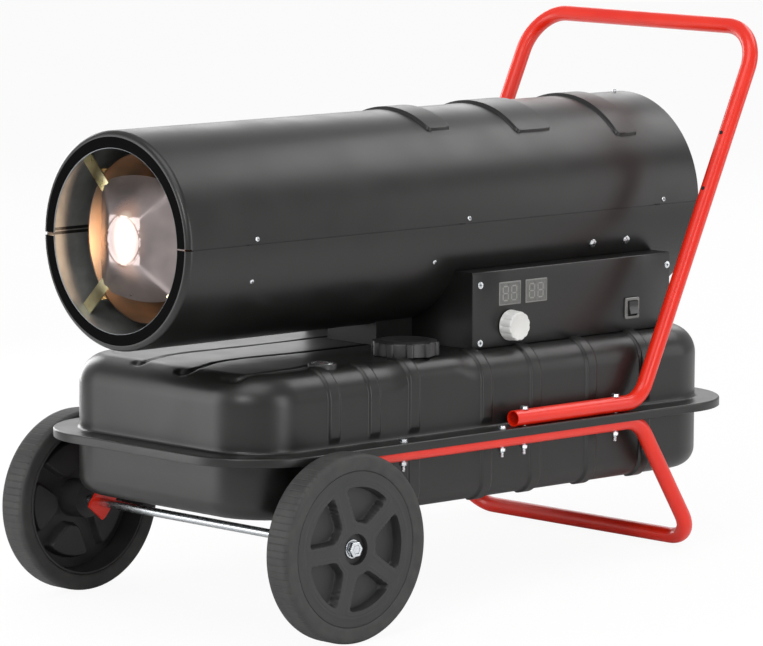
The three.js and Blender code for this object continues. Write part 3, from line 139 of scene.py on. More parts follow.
# %% Making a piece
def make_piece(name, points, faces, material, slot, stands_for=(), body="heater", crease=35, level=True):
    mesh = bpy.data.meshes.new(name)
    placed = set_down(points) if level else np.asarray(points, float).reshape(-1, 3) / 1000
    mesh.from_pydata([tuple(p) for p in placed], [], [tuple(int(i) for i in f) for f in faces])
    mesh.validate()
    mesh.shade_smooth()
    mesh.set_sharp_from_angle(angle=math.radians(crease))
    mesh.materials.append(material)
    piece = bpy.data.objects.new(name, mesh)
    bpy.context.scene.collection.objects.link(piece)
    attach(piece, body)
    if stands_for:
        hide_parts(*stands_for)
    return piece


def joined(parts):
    points = []
    faces = []
    start = 0
    for part_points, part_faces in parts:
        part_points = np.asarray(part_points, float).reshape(-1, 3)
        points.append(part_points)
        faces += [[index + start for index in face] for face in part_faces]
        start += len(part_points)
    return np.vstack(points), faces


def net(rows, columns, close_rows=False, close_columns=False):
    faces = []
    for i in range(rows if close_rows else rows - 1):
        for j in range(columns if close_columns else columns - 1):
            down = (i + 1) % rows
            along = (j + 1) % columns
            faces.append([i * columns + j, i * columns + along, down * columns + along, down * columns + j])
    return faces


# %% [markdown]
# Most of the heater is round, so most pieces are turned: a profile of radius and length is swept round an
# axis. The three axes of the heater each get their frame here, and any other direction gets one by a cross
# product. Knob and cap are turned too, but their radius swells and shrinks on the way round.

# %% Turned pieces
ALONG = {
    "x": (np.array([0, 1, 0.0]), np.array([0, 0, 1.0]), np.array([1.0, 0, 0])),
    "y": (np.array([0, 0, 1.0]), np.array([1.0, 0, 0]), np.array([0, 1.0, 0])),
    "z": (np.array([1.0, 0, 0]), np.array([0, 1.0, 0]), np.array([0, 0, 1.0])),
}


def frame_of(direction):
    along = np.array(direction, float) / np.linalg.norm(direction)
    helper = np.array([0, 0, 1.0]) if abs(along[2]) < 0.9 else np.array([0, 1.0, 0])
    across = np.cross(helper, along)
    across /= np.linalg.norm(across)
    return across, np.cross(along, across), along


def turned(profile, centre, axis="z", sides=64, closed=True):
    across, up, along = ALONG[axis] if isinstance(axis, str) else frame_of(axis)
    angles = np.arange(sides) * 2 * math.pi / sides
    ring = np.outer(np.cos(angles), across) + np.outer(np.sin(angles), up)
    points = np.vstack([ring * radius + along * height for radius, height in profile])
    return points + np.asarray(centre, float), net(len(profile), sides, close_rows=closed, close_columns=True)


def rounded(profile, radius):
    steps = 4
    soft = []
    count = len(profile)
    for i in range(count):
        here = np.array(profile[i], float)
        before = np.array(profile[i - 1], float) - here
        after = np.array(profile[(i + 1) % count], float) - here
        reach = min(radius, np.linalg.norm(before) * 0.45, np.linalg.norm(after) * 0.45)
        start = here + before / np.linalg.norm(before) * reach
        end = here + after / np.linalg.norm(after) * reach
        for k in range(steps + 1):
            t = k / steps
            soft.append(tuple((1 - t) ** 2 * start + 2 * t * (1 - t) * here + t**2 * end))
    return soft


def swelled(rows, count, swell):
    turns = np.arange(count) * 2 * math.pi / count
    reach = np.array([radius + share * swell(turns, radius) for radius, _, share in rows])
    heights = np.repeat([[height] for _, height, _ in rows], count, axis=1)
    return (reach * np.cos(turns)).ravel(), (reach * np.sin(turns)).ravel(), heights.ravel()


print("turned pieces ready")

# %% [markdown]
# Finishes are built from shader nodes. One small function adds a node with its settings and its links.
# Colours are written as sRGB hex, as in a paint chart, and turned to linear light once, because a shader
# works with light.


# %% Node and colour helpers
MM = 0.001


def linear(colour):
    values = [int(colour[i : i + 2], 16) / 255 for i in (1, 3, 5)]
    return [v / 12.92 if v <= 0.04045 else ((v + 0.055) / 1.055) ** 2.4 for v in values] + [1.0]


def add_node(tree, kind, settings=None, **inputs):
    node = tree.nodes.new(kind)
    for key, value in (settings or {}).items():
        setattr(node, key, value)
    for key, value in inputs.items():
        numbered = key[0] == "i" and key[1:].isdigit()
        socket = node.inputs[int(key[1:]) if numbered else key.replace("_", " ")]
        if isinstance(value, bpy.types.NodeSocket):
            tree.links.new(value, socket)
        else:
            socket.default_value = value
    return node


SUBTRACT, MULTIPLY, LENGTH = ({"operation": name} for name in ("SUBTRACT", "MULTIPLY", "LENGTH"))
print("one millimetre in scene units:", MM)

# %% [markdown]
# No real surface has one flat colour, one sheen or a perfect face. Every finish here starts from the same
# three layers, each with a size in real millimetres: soft clouds of tone, the same clouds in the sheen, and
# a fine relief. An edge size adds a small rounded edge in the shader, for the solids that come in with
# sharp ones. What makes a material itself is then the numbers: how dark, how shiny, how fine the relief and
# how deep.


# %% A finish of tone, sheen and relief
def finish(
    name, dark, light, roughness, cloud_mm, relief_mm, depth_mm, stretch=(1, 1, 1), edge_mm=0.0, **sockets
):
    material = bpy.data.materials.new(name)
    material.use_nodes = True
    tree = material.node_tree
    surface = tree.nodes["Principled BSDF"]
    place = add_node(tree, "ShaderNodeTexCoord").outputs["Object"]
    drawn_out = add_node(tree, "ShaderNodeMapping", Vector=place, Scale=stretch).outputs["Vector"]
    clouds = add_node(tree, "ShaderNodeTexNoise", Vector=drawn_out, Scale=1 / (cloud_mm * MM), Detail=2.0)
    cloud = clouds.outputs["Fac"]
    share = add_node(tree, "ShaderNodeMapRange", Value=cloud, i1=0.3, i2=0.7).outputs["Result"]
    tone = add_node(tree, "ShaderNodeMix", {"data_type": "RGBA"}, i0=share, i6=linear(dark), i7=linear(light))
    sheen = add_node(tree, "ShaderNodeMapRange", Value=share, i3=roughness - 0.03, i4=roughness + 0.03)
    relief = add_node(tree, "ShaderNodeTexNoise", Vector=drawn_out, Scale=1 / (relief_mm * MM), Detail=2.0)
    bump = add_node(tree, "ShaderNodeBump", {"name": "Relief"}, Distance=depth_mm * MM)
    tree.links.new(relief.outputs["Fac"], bump.inputs["Height"])
    tree.links.new(tone.outputs[2], surface.inputs["Base Color"])
    tree.links.new(sheen.outputs["Result"], surface.inputs["Roughness"])
    tree.links.new(bump.outputs["Normal"], surface.inputs["Normal"])
    if edge_mm:
        edge = add_node(tree, "ShaderNodeBevel", {"samples": 6}, Radius=edge_mm * MM)
        tree.links.new(edge.outputs["Normal"], bump.inputs["Normal"])
    for key, value in sockets.items():
        surface.inputs[key.replace("_", " ")].default_value = value
    return material


print("finish ready")

# %% [markdown]
# The barrel, tank and box are deep-drawn and folded mild steel with satin black powder coat. The powder is
# sprayed dry and melts in an oven, so it keeps a faint orange peel a couple of millimetres wide and a
# slightly uneven sheen. Powder coat is a plastic, so its IOR is near 1.5. The eye reads it by broad soft
# highlights on near-black. The tubes' red is glossier, as if under a clear coat. The flat ring inside the
# mouth's roll has stove paint, full of silica to stand the heat, which hardly shines at all.

# %% Powder coats and stove paint
black_powder_coat = finish("black_powder_coat", "#131312", "#191918", 0.35, 60, 2.2, 0.02, IOR=1.5)
panel_powder_coat = finish(
    "panel_powder_coat", "#101010", "#151514", 0.34, 60, 1.2, 0.02, edge_mm=0.8, IOR=1.5
)
red_powder_coat = finish(
    "red_powder_coat", "#dc1e05", "#e42607", 0.32, 60, 2.2, 0.02, IOR=1.5, Coat_Weight=0.15,
    Coat_Roughness=0.1
)
lip_stove_paint = finish("stove_paint", "#040404", "#070707", 0.9, 20, 0.8, 0.02, Specular_IOR_Level=0.06)
print("paints:", black_powder_coat.name, panel_powder_coat.name, red_powder_coat.name, lip_stove_paint.name)

# %% [markdown]
# Bolts, screws, guard and axle are bright zinc-plated steel. Plating is thin and follows the machining, so
# it shows fine drawn-out lines and a faint blue. Metals keep the default IOR: their colour is their
# reflection, so metallic is 1 and the base colour is what the metal reflects. Cast aluminium is duller and
# grainier, brass is warm.

# %% Plated, rolled and cast metals
PLATED = {"stretch": (1, 1, 12), "edge_mm": 0.4, "Metallic": 1.0}
zinc_plate = finish("zinc_plate", "#c8cdd1", "#e2e5e8", 0.26, 9, 3.6, 0.01, **PLATED)
rolled_steel = finish("rolled_steel", "#7e8184", "#95989b", 0.4, 9, 3.6, 0.01, **PLATED)
cast_aluminium = finish(
    "cast_aluminium", "#9a9da0", "#b0b3b5", 0.48, 12, 0.9, 0.06, edge_mm=0.8, Metallic=1.0
)
turned_brass = finish("turned_brass", "#b08a42", "#c39c50", 0.32, 9, 3.6, 0.01, **PLATED)
print("metals:", zinc_plate.name, rolled_steel.name, cast_aluminium.name, turned_brass.name)

# %% [markdown]
# The deflector and chamber are stainless steel that has been hot. Heat grows an oxide film whose thickness
# sets its colour: straw, then rose and blue. The film is uneven, so large soft clouds of grey-rose run over
# the sheet. The burner's light on the middle of the deflector is painted in as a glow: an emission, pale at
# one point and warmer and dimmer further out, that fades away round it.

# %% Heat-tinted stainless steel with a painted glow
GLOW_PLACE = set_down((2, -150, 392))[0]
GLOW_SCALE = (1.0, 1.0, 0.62)
GLOW_REACH = 46 * MM
deflector_stainless = finish("deflector_stainless", "#8f8788", "#a89c9a", 0.3, 45, 1.5, 0.01, Metallic=1.0)
chamber_stainless = finish("chamber_stainless", "#75706c", "#98806c", 0.35, 45, 1.5, 0.01, Metallic=1.0)
straw_stainless = finish("straw_stainless", "#d8c890", "#f4ecc4", 0.3, 20, 1.5, 0.01, Metallic=1.0)
galvanised_duct = finish("galvanised_duct", "#8d8f8e", "#a6a8a6", 0.5, 25, 3.0, 0.02, Metallic=0.6)
# Painted glow: an emission, brightest round GLOW_PLACE, stands in for the burner's light on the deflector.
tree = deflector_stainless.node_tree
surface = tree.nodes["Principled BSDF"]
place = add_node(tree, "ShaderNodeTexCoord").outputs["Object"]
offset = add_node(tree, "ShaderNodeVectorMath", SUBTRACT, i0=place, i1=GLOW_PLACE)
tall = add_node(tree, "ShaderNodeVectorMath", MULTIPLY, i0=offset.outputs["Vector"], i1=GLOW_SCALE)
reach = add_node(tree, "ShaderNodeVectorMath", LENGTH, i0=tall.outputs["Vector"])
smoother = {"interpolation_type": "SMOOTHERSTEP"}
distance = reach.outputs["Value"]
painted_glow_share = add_node(tree, "ShaderNodeMapRange", smoother, Value=distance, i1=0.0, i2=GLOW_REACH, i3=1.0, i4=0.0)
painted_glow_ramp = add_node(tree, "ShaderNodeValToRGB", Fac=painted_glow_share.outputs["Result"])
painted_glow_ramp.color_ramp.elements[0].color = linear("#000000")
painted_glow_ramp.color_ramp.elements[1].color = linear("#fff2d8")
painted_glow_ramp.color_ramp.elements.new(0.45).color = linear("#7a5238")
tree.links.new(painted_glow_ramp.outputs["Color"], surface.inputs["Emission Color"])
surface.inputs["Emission Strength"].default_value = 1.0
print("stainless:", deflector_stainless.name, chamber_stainless.name, straw_stainless.name)

# %% [markdown]
# Wheels and knob are injection-moulded plastic: the wheels polypropylene with a spark-eroded grain, the
# knob ABS. Moulded grain is a fine leather of bumps under a millimetre wide, which scatters the highlight.
# Hoses are rubber, duller still. The fan's filter is open foam, so its relief is deep and its surface
# almost matt.

# %% Moulded plastics, rubber and foam
polypropylene = finish("polypropylene", "#272727", "#2d2d2d", 0.5, 40, 0.8, 0.02, IOR=1.49)
black_abs = finish("black_abs", "#1e1e1e", "#242424", 0.42, 40, 0.8, 0.02, IOR=1.53)
gloss_abs = finish("gloss_abs", "#141414", "#1a1a1a", 0.2, 40, 0.8, 0.005, IOR=1.53)
silver_abs = finish("silver_abs", "#c9c9c7", "#d6d6d3", 0.35, 40, 0.8, 0.008, IOR=1.53)
pointer_abs = finish("pointer_abs", "#b81c10", "#c62414", 0.4, 40, 0.8, 0.01, IOR=1.53)
hose_rubber = finish("hose_rubber", "#141414", "#1a1a1a", 0.6, 40, 0.8, 0.02, IOR=1.52)
board_laminate = finish("board_laminate", "#2a5236", "#31603f", 0.45, 12, 0.8, 0.02, edge_mm=0.3, IOR=1.55)
filter_foam = finish("filter_foam", "#2c2c2a", "#3c3c39", 0.95, 12, 1.5, 0.4, edge_mm=0.8, IOR=1.45)
# Painted shade: a near-black matt finish that stands for the shade inside screw recesses, seam slots and
# drilled holes.
painted_recess_shade = finish("recess_shadow", "#101010", "#161616", 0.8, 12, 0.8, 0.01, IOR=1.5)
print("plastics:", polypropylene.name, black_abs.name, silver_abs.name)

# %% [markdown]
# The tyres are solid rubber, with short sipes moulded across the tread. The sipes are cut by the shader:
# the angle round the axle drives a wave of 84 turns, and only its crests, beyond the tread's inner radius,
# sink as grooves.

# %% Tyre rubber with sipes
SIPES = 84.0
TREAD_INNER = 122.5 * MM
solid_tyre_rubber = finish("tyre_rubber", "#2a2a2a", "#373736", 0.62, 18, 0.8, 0.02, IOR=1.5)
tree = solid_tyre_rubber.node_tree
place = add_node(tree, "ShaderNodeTexCoord").outputs["Object"]
offset = add_node(tree, "ShaderNodeVectorMath", SUBTRACT, i0=place, i1=Vector(AXLE))
parts = add_node(tree, "ShaderNodeSeparateXYZ", Vector=offset.outputs["Vector"])
turn_of = {"operation": "ARCTAN2"}
angle = add_node(tree, "ShaderNodeMath", turn_of, i0=parts.outputs["Z"], i1=parts.outputs["Y"])
wave = add_node(tree, "ShaderNodeMath", MULTIPLY, i0=angle.outputs["Value"], i1=SIPES)
sine = add_node(tree, "ShaderNodeMath", {"operation": "SINE"}, i0=wave.outputs["Value"])
groove = add_node(tree, "ShaderNodeMapRange", Value=sine.outputs["Value"], i1=0.8, i2=1.0, i3=0.0, i4=-1.0)
radial = add_node(tree, "ShaderNodeVectorMath", MULTIPLY, i0=offset.outputs["Vector"], i1=(0, 1, 1))
reach = add_node(tree, "ShaderNodeVectorMath", LENGTH, i0=radial.outputs["Vector"])
beyond = {"operation": "GREATER_THAN"}
on_tread = add_node(tree, "ShaderNodeMath", beyond, i0=reach.outputs["Value"], i1=TREAD_INNER)
shown = add_node(tree, "ShaderNodeMath", MULTIPLY, i0=groove.outputs["Result"], i1=on_tread.outputs["Value"])
sunk = add_node(tree, "ShaderNodeBump", Height=shown.outputs["Value"], Distance=0.6 * MM)
tree.links.new(sunk.outputs["Normal"], tree.nodes["Relief"].inputs["Normal"])
print("sipes round the tread:", int(SIPES))

# %% [markdown]
# Small windows cover the displays and the gauge. The displays are smoked acrylic over unlit digits, so they
# look grey with slightly paler segments. The gauge's lens is clear acrylic, so most light passes through
# it.

# %% Windows
smoked_acrylic = finish("smoked_acrylic", "#585856", "#666663", 0.3, 5, 2.0, 0.004, IOR=1.49)
digit_film = finish("digit_film", "#80807d", "#8a8a87", 0.4, 30, 2.0, 0.004, IOR=1.49)
window_frame = finish("window_frame", "#70706d", "#7c7c79", 0.35, 30, 2.0, 0.004, IOR=1.49)
bezel_abs = finish("bezel_abs", "#6a6a68", "#757573", 0.28, 40, 0.8, 0.005, IOR=1.53)
clear_acrylic = finish(
    "clear_acrylic", "#eef2f2", "#f4f7f7", 0.08, 30, 2.0, 0.002, IOR=1.49, Transmission_Weight=0.95
)
print("windows:", smoked_acrylic.name, clear_acrylic.name)

# %% [markdown]
# The barrel is rolled from two steel sheets that meet in a flat seam at mid height. A cylinder primitive
# would not have the seam, the raised bands or the rolled mouth, so the wall is drawn as a net of points by
# angle and length. The raised bands are pressed 4 mm out of the upper sheet, with crisp 2 mm edges and
# rounded lower corners. Each point's height comes from its distance to the band's outline, and the net is
# finer where a band's edge runs.

# %% Barrel sizes
BARREL_Z = 390
BARREL_RADIUS = 145
BARREL_FRONT = -168
BARREL_REAR = 795
ROLL = 8
MOUTH_RADIUS = 122
SHEET_FRONT = BARREL_FRONT + ROLL
SHEET_INSIDE = 143.4
BANDS = [(346, 45, 56), (515, 68, 49), (686, 43, 41)]  # middle, width, angle where it starts
BAND_HEIGHT = 4
BAND_CORNER = 9
BAND_EDGE = 2.4


def refined(start, end, step, marks, reach, fine):
    values = list(np.arange(start, end, step)) + [end]
    for mark in marks:
        values += list(np.arange(mark - reach, mark + reach + fine / 2, fine))
    values = np.unique(np.round([v for v in values if start <= v <= end], 4))
    keep = [values[0]]
    for value in values[1:]:
        if value - keep[-1] > fine * 0.6:
            keep.append(value)
    keep[-1] = end
    return np.array(keep)


def smooth_step(value, low, high):
    t = np.clip((value - low) / (high - low), 0, 1)
    return t * t * (3 - 2 * t)


def rounded_box_distance(x, y, half_x, half_y, corner):
    dx = np.abs(x) - (half_x - corner)
    dy = np.abs(y) - (half_y - corner)
    outside = np.hypot(np.maximum(dx, 0), np.maximum(dy, 0))
    return outside + np.minimum(np.maximum(dx, dy), 0) - corner


def band_rise(angles, lengths):
    rise = np.zeros_like(angles)
    for middle, width, start in BANDS:
        half_arc = math.radians(90 - start) * BARREL_RADIUS
        arc = (angles - math.pi / 2) * BARREL_RADIUS
        distance = rounded_box_distance(arc, lengths - middle, half_arc, width / 2, BAND_CORNER)
        rise = np.maximum(rise, BAND_HEIGHT * (1 - smooth_step(distance, -BAND_EDGE, 0)))
    return rise


# %% Barrel wall
def barrel_point(radius, angle, length):
    return np.stack([radius * np.cos(angle), length, BARREL_Z + radius * np.sin(angle)], axis=-1)


def barrel_skin(angles, lengths, rise=None):
    grid_angle, grid_length = np.meshgrid(angles, lengths, indexing="ij")
    grid_radius = np.full_like(grid_angle, BARREL_RADIUS)
    if rise is not None:
        grid_radius = grid_radius + rise(grid_angle, grid_length)
    return barrel_point(grid_radius, grid_angle, grid_length).reshape(-1, 3), net(len(angles), len(lengths))


SEAM_GAP = 0.75
seam_angle = math.asin(SEAM_GAP / BARREL_RADIUS)
band_marks = [math.radians(a) for _, _, start in BANDS for a in (start, 180 - start)]
near_marks = (band_marks, math.radians(2.2), math.radians(0.4))
upper_angles = refined(seam_angle, math.pi - seam_angle, math.radians(2), *near_marks)
band_ends = [middle + side * width / 2 for middle, width, _ in BANDS for side in (-1, 1)]
upper_lengths = refined(SHEET_FRONT, BARREL_REAR, 12, band_ends, 5, 0.8)
upper_skin = barrel_skin(upper_angles, upper_lengths, band_rise)


def seam_edge(z, outward):
    x0 = math.sqrt(BARREL_RADIUS**2 - z**2)
    x1 = x0 - 2.4
    rows = []
    for side in (-1, 1):
        points = []
        for length in (SHEET_FRONT, BARREL_REAR):
            points.append((side * x0, length, BARREL_Z + z))
            points.append((side * x1, length, BARREL_Z + z))
            points.append((side * x1, length, BARREL_Z + z + outward * 4))
        rows.append((points, [[0, 1, 4, 3], [1, 2, 5, 4]]))
    return joined(rows)


lower_angles = np.linspace(-math.pi + seam_angle, -seam_angle, 120)
lower_skin = barrel_skin(lower_angles, refined(SHEET_FRONT, BARREL_REAR, 30, [], 1, 1))
upper_sheets = (upper_skin, seam_edge(SEAM_GAP, 1))
lower_sheets = (lower_skin, seam_edge(-SEAM_GAP, -1))
barrel_halves = {"upper": upper_sheets, "lower": lower_sheets}
barrel_points = 0
for half, sheets in barrel_halves.items():
    sheet = make_piece(
        f"barrel_{half}_sheet", *joined(sheets), black_powder_coat, "black_paint", [f"barrel_{half}_shell"],
        crease=28
    )
    barrel_points += len(sheet.data.vertices)
print("barrel points:", barrel_points)

# %% [markdown]
# Inside, the barrel shows unpainted galvanised steel, drawn as a thin lining, and the joggle of the seam
# closes the slit from within. At the mouth both sheets are rolled inwards: the roll keeps its powder coat,
# and the flat ring inside it has stove paint. The sheared inner edge is left bare, so it is a thin bright
# line. A lathe profile is right for all of them.


# %% Barrel lining, joggle and mouth
def arc_profile(profile, start, end, steps):
    angles = np.linspace(start, end, steps)
    rows = [barrel_point(np.full(steps, r), angles, np.full(steps, y)) for r, y in profile]
    return np.vstack(rows), net(len(profile), steps, close_rows=True)


def two_halves(profile, gap, far_gap, steps):
    upper = arc_profile(profile, gap, math.pi - gap, steps)
    return joined([upper, arc_profile(profile, far_gap - math.pi, -gap, steps)])


slit = 1.1 / 134
roll_middle = BARREL_RADIUS - ROLL
bends = np.linspace(0, math.pi / 2, 12)
roll_profile = [(roll_middle + ROLL * math.cos(a), SHEET_FRONT - ROLL * math.sin(a)) for a in bends]
roll_profile += [(roll_middle, BARREL_FRONT + 1.2), (SHEET_INSIDE, SHEET_FRONT)]
make_piece(
    "mouth_roll", *two_halves(roll_profile, slit, 3.2 * slit, 130), black_powder_coat, "black_paint",
    crease=40
)
mouth_ring = [(roll_middle, 0), (MOUTH_RADIUS + 1.4, 0), (MOUTH_RADIUS + 0.5, 0.3), (MOUTH_RADIUS, 0.9)]
mouth_ring += [(MOUTH_RADIUS, 1.6), (138, 1.6), (SHEET_INSIDE, ROLL)]
mouth_profile = [(radius, BARREL_FRONT + y) for radius, y in mouth_ring]
mouth_lip = make_piece(
    "mouth_lip", *two_halves(mouth_profile, slit, 3.2 * slit, 130), lip_stove_paint, "black_paint",
    crease=40
)
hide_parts("barrel_lower_shell", "barrel_upper_shell")
cut_edge = [(-0.5, 0.7), (0, 0.1), (0.4, 0), (0.4, 1.2), (-0.4, 1.4)]
edge_profile = [(MOUTH_RADIUS + out, BARREL_FRONT + y) for out, y in cut_edge]
make_piece(
    "mouth_cut_edge", *two_halves(edge_profile, 0.006, 0.006, 130), rolled_steel, "bare_steel", crease=40
)


def thin_tube(outer, inner):
    return [(outer, SHEET_FRONT), (outer, BARREL_REAR - 1), (inner, BARREL_REAR - 1), (inner, SHEET_FRONT)]


make_piece(
    "barrel_lining", *two_halves(thin_tube(143.3, 142.9), 0.0, 0.0, 90), galvanised_duct, "bare_steel",
    crease=40
)
joggles = [arc_profile(thin_tube(144.0, 143.45), side - 0.05, side + 0.05, 6) for side in (0.0, math.pi)]
make_piece("seam_joggle", *joined(joggles), black_powder_coat, "black_paint", crease=40)
print("mouth ring points:", len(mouth_lip.data.vertices))

# %% [markdown]
# Screws hold the seam, the saddle and the panel. They are zinc-plated, and each head is a turned dome that
# can point along any direction. Its recess is painted shade: a small dark cross, drawn a hair above the dome.
# The panel's heads are flatter, and the stud on the barrel's top has no recess. In front of each seam screw,
# a short dark strip on the seam is painted shade for a slot.


# %% Screws
def cross_recess(centre, direction, reach, width, height):
    across, up, along = frame_of(direction)
    bars = []
    for first, second in ((across, up), (up, across)):
        corners = []
        for level in (height - 0.5, height):
            for a, b in ((-1, -1), (1, -1), (1, 1), (-1, 1)):
                corners.append(np.asarray(centre) + first * a * reach + second * b * width + along * level)
        walls = [[k, (k + 1) % 4, 4 + (k + 1) % 4, 4 + k] for k in range(4)]
        bars.append((corners, [[0, 1, 2, 3], [4, 5, 6, 7]] + walls))
    return joined(bars)


def pan_head(centre, direction, radius, height):
    dome = [(0.01, 0.0), (radius, 0.0), (radius, height * 0.35), (radius * 0.86, height * 0.75)]
    dome += [(radius * 0.55, height * 0.97), (0.01, height)]
    return turned(dome, centre, direction, 24)


def barrel_screw_place(angle_degrees, y):
    angle = math.radians(angle_degrees)
    outward = np.array([math.cos(angle), 0, math.sin(angle)])
    return outward * BARREL_RADIUS + np.array([0, y, BARREL_Z]), outward


heads = []
recesses = []
SEAM_SCREW_Y = (-48.5, 340, 723)
PANEL_X = 165.0
seam_screws = [(angle, y) for angle in (2.6, 177.4) for y in SEAM_SCREW_Y]
saddle_screws = [(angle, y) for angle in (-20, -160) for y in (-50, 283)]
for angle_degrees, y in seam_screws + saddle_screws:
    centre, outward = barrel_screw_place(angle_degrees, y)
    heads.append(pan_head(centre, outward, 3.4, 1.9))
    recesses.append(cross_recess(centre, outward, 1.9, 0.45, 1.95))
for y in (588, 655):
    centre, outward = barrel_screw_place(-18.5, y)
    heads.append(pan_head(centre, outward, 6.2, 3.6))
    recesses.append(cross_recess(centre, outward, 2.8, 0.5, 3.65))
centre, outward = barrel_screw_place(90, 773)
heads.append(turned([(0.01, 0), (2.4, 0), (2.4, 3.6), (1.8, 4.2), (0.01, 4.2)], centre, outward, 24))
panel_screws = [(342.8, 306.7), (342.9, 227.8), (710.8, 306.9), (710.8, 227.8)]
for y, z in panel_screws:
    centre = (PANEL_X, y, z)
    heads.append(turned([(0.01, 0.0), (5.0, 0.0), (4.7, 0.45), (0.01, 0.75)], centre, (1, 0, 0), 24))
    recesses.append(cross_recess(centre, (1, 0, 0), 2.1, 0.45, 0.85))
make_piece("screw_heads", *joined(heads), zinc_plate, "zinc", crease=30)
# Painted shade: near-black crosses stand for the shade in the screw recesses.
make_piece("screw_recess_shade", *joined(recesses), painted_recess_shade, "black_plastic")
# Painted shade: short near-black strips on the seam stand for the shade in its slots.
seam_slot_shade = []
for y in SEAM_SCREW_Y:
    for side in (1, -1):
        rows = []
        for length in (y - 16, y - 7):
            for z in (-0.9, 0.9):
                x = math.sqrt((BARREL_RADIUS + 0.15) ** 2 - z * z)
                rows.append((side * x, length, BARREL_Z + z))
        seam_slot_shade.append((rows, [[0, 1, 3, 2]]))
make_piece("seam_slot_shade", *joined(seam_slot_shade), painted_recess_shade, "black_plastic")
print("screws:", len(heads))

# %% [markdown]
# The tank is two deep-drawn halves that meet in a flange, whose rim is folded down as a lip. A subdivided
# box could give such a shape, but the flange, the lip and the ribs need exact places. So the tank is a net:
# one direction runs round the rounded rectangle, the other runs from the lip over the flange, up the wall
# and over the edge.

# %% Tank outline
TANK_HALF_WIDTH = 198
TANK_HALF_LENGTH = 445
TANK_MIDDLE = 341
TANK_CORNER = 83
TANK_EDGE = 28
UPPER_EDGE = 40
FLANGE_TOP = 119
TANK_TOP = 220
TANK_BOTTOM = 20
RIBS = [41, 114, 187, 323, 417, 526, 633]
RIB_HEIGHT = 2.8
RIB_CREST, RIB_FOOT = 8.0, 11.4
CAP_X, CAP_Y = 138, 228
CAP_EDGE_FROM, CAP_EDGE_TO = 44, 74


def tank_outline():
    stations = []
    straight_y = TANK_HALF_LENGTH - TANK_CORNER
    straight_x = TANK_HALF_WIDTH - TANK_CORNER
    marks = [rib - TANK_MIDDLE + side * 11 for rib in RIBS for side in (-1, 1)]
    along = refined(-straight_y, straight_y, 14, marks, 4.5, 1.5)
    across = np.linspace(-straight_x, straight_x, 64)
    turn = np.linspace(0, math.pi / 2, 34)[1:-1]
    stations += [("side", 1, y) for y in along]
    stations += [("corner", (1, 1), a) for a in turn]
    stations += [("end", 1, x) for x in across[::-1]]
    stations += [("corner", (-1, 1), math.pi / 2 + a) for a in turn]
    stations += [("side", -1, y) for y in along[::-1]]
    stations += [("corner", (-1, -1), math.pi + a) for a in turn]
    stations += [("end", -1, x) for x in across]
    stations += [("corner", (1, -1), 1.5 * math.pi + a) for a in turn]
    return stations


TANK_STATIONS = tank_outline()


def tank_place(station, inset):
    kind, side, value = station
    if kind == "side":
        return side * (TANK_HALF_WIDTH - inset), value
    if kind == "end":
        return value, side * (TANK_HALF_LENGTH - inset)
    radius = TANK_CORNER - inset
    x = side[0] * (TANK_HALF_WIDTH - TANK_CORNER) + radius * math.cos(value)
    y = side[1] * (TANK_HALF_LENGTH - TANK_CORNER) + radius * math.sin(value)
    return x, y


def rib_share(station):
    kind, _, value = station
    if kind != "side":
        return 0.0
    nearest = min(abs(value - (rib - TANK_MIDDLE)) for rib in RIBS)
    return float(1 - smooth_step(np.array(nearest), RIB_CREST, RIB_FOOT))


def edge_share(station):
    kind, side, value = station
    if kind != "side" or side < 0:
        return 1.0
    from_cap = abs(value + TANK_MIDDLE - CAP_Y)
    beside_cap = 1 - smooth_step(np.array(from_cap), CAP_EDGE_FROM, CAP_EDGE_TO)
    return float(1 - (1 - TANK_EDGE / UPPER_EDGE) * beside_cap)


# %% [markdown]
# The tank's top is stiffened by shallow pressed steps, which start on the front edge and swing back under
# the barrel. They are about 11 mm wide and 3 mm deep. A satin surface shows them as dark lines with a light
# upper edge. A net of 2.5 mm cells is fine enough to press them in, so no bump map is needed.

# %% Pressed lines
PRESSED_LINES = [
    [(-60, -80), (-50, -81), (-45, -75), (-54, -49), (-67, -15), (-71, 28), (-69, 80), (-67, 150)],
    [(30, -83), (43, -85), (52, -79), (47, -58), (27, -13), (21, 36), (24, 85), (29, 136), (30, 220)],
    [(120, -84), (134, -83), (144, -72), (142, -32), (138, 25), (128, 70)],
]
PRESSED_LINES[0] += [(-67, 226), (-67, 320)]
PRESSED_LINES[1] += [(30, 320)]
PRESSED_DEPTH = 3.2
PRESSED_FLOOR, PRESSED_BRINK = 0.8, 5.6
PRESSED_BELOW_TOP = 24
FRONT_LIFT = 10.0
LIFT_FROM = 106


def smooth_line(corners):
    step = 3.0
    corners = np.array(corners, float)
    dense = []
    count = len(corners)
    for i in range(count - 1):
        p0, p1 = corners[max(i - 1, 0)], corners[i]
        p2, p3 = corners[i + 1], corners[min(i + 2, count - 1)]
        pieces = max(2, int(np.linalg.norm(p2 - p1) / step))
        for k in range(pieces):
            t = k / pieces
            a = 2 * p1 + (p2 - p0) * t + (2 * p0 - 5 * p1 + 4 * p2 - p3) * t * t
            dense.append(0.5 * (a + (3 * p1 - p0 - 3 * p2 + p3) * t**3))
    dense.append(corners[-1])
    return np.array(dense)


def distance_to_line(points, line):
    best = np.full(len(points), 1e9)
    for a, b in zip(line[:-1], line[1:]):
        run = b - a
        share = np.clip(((points - a) @ run) / (run @ run), 0, 1)
        best = np.minimum(best, np.linalg.norm(points - a - share[:, None] * run, axis=1))
    return best


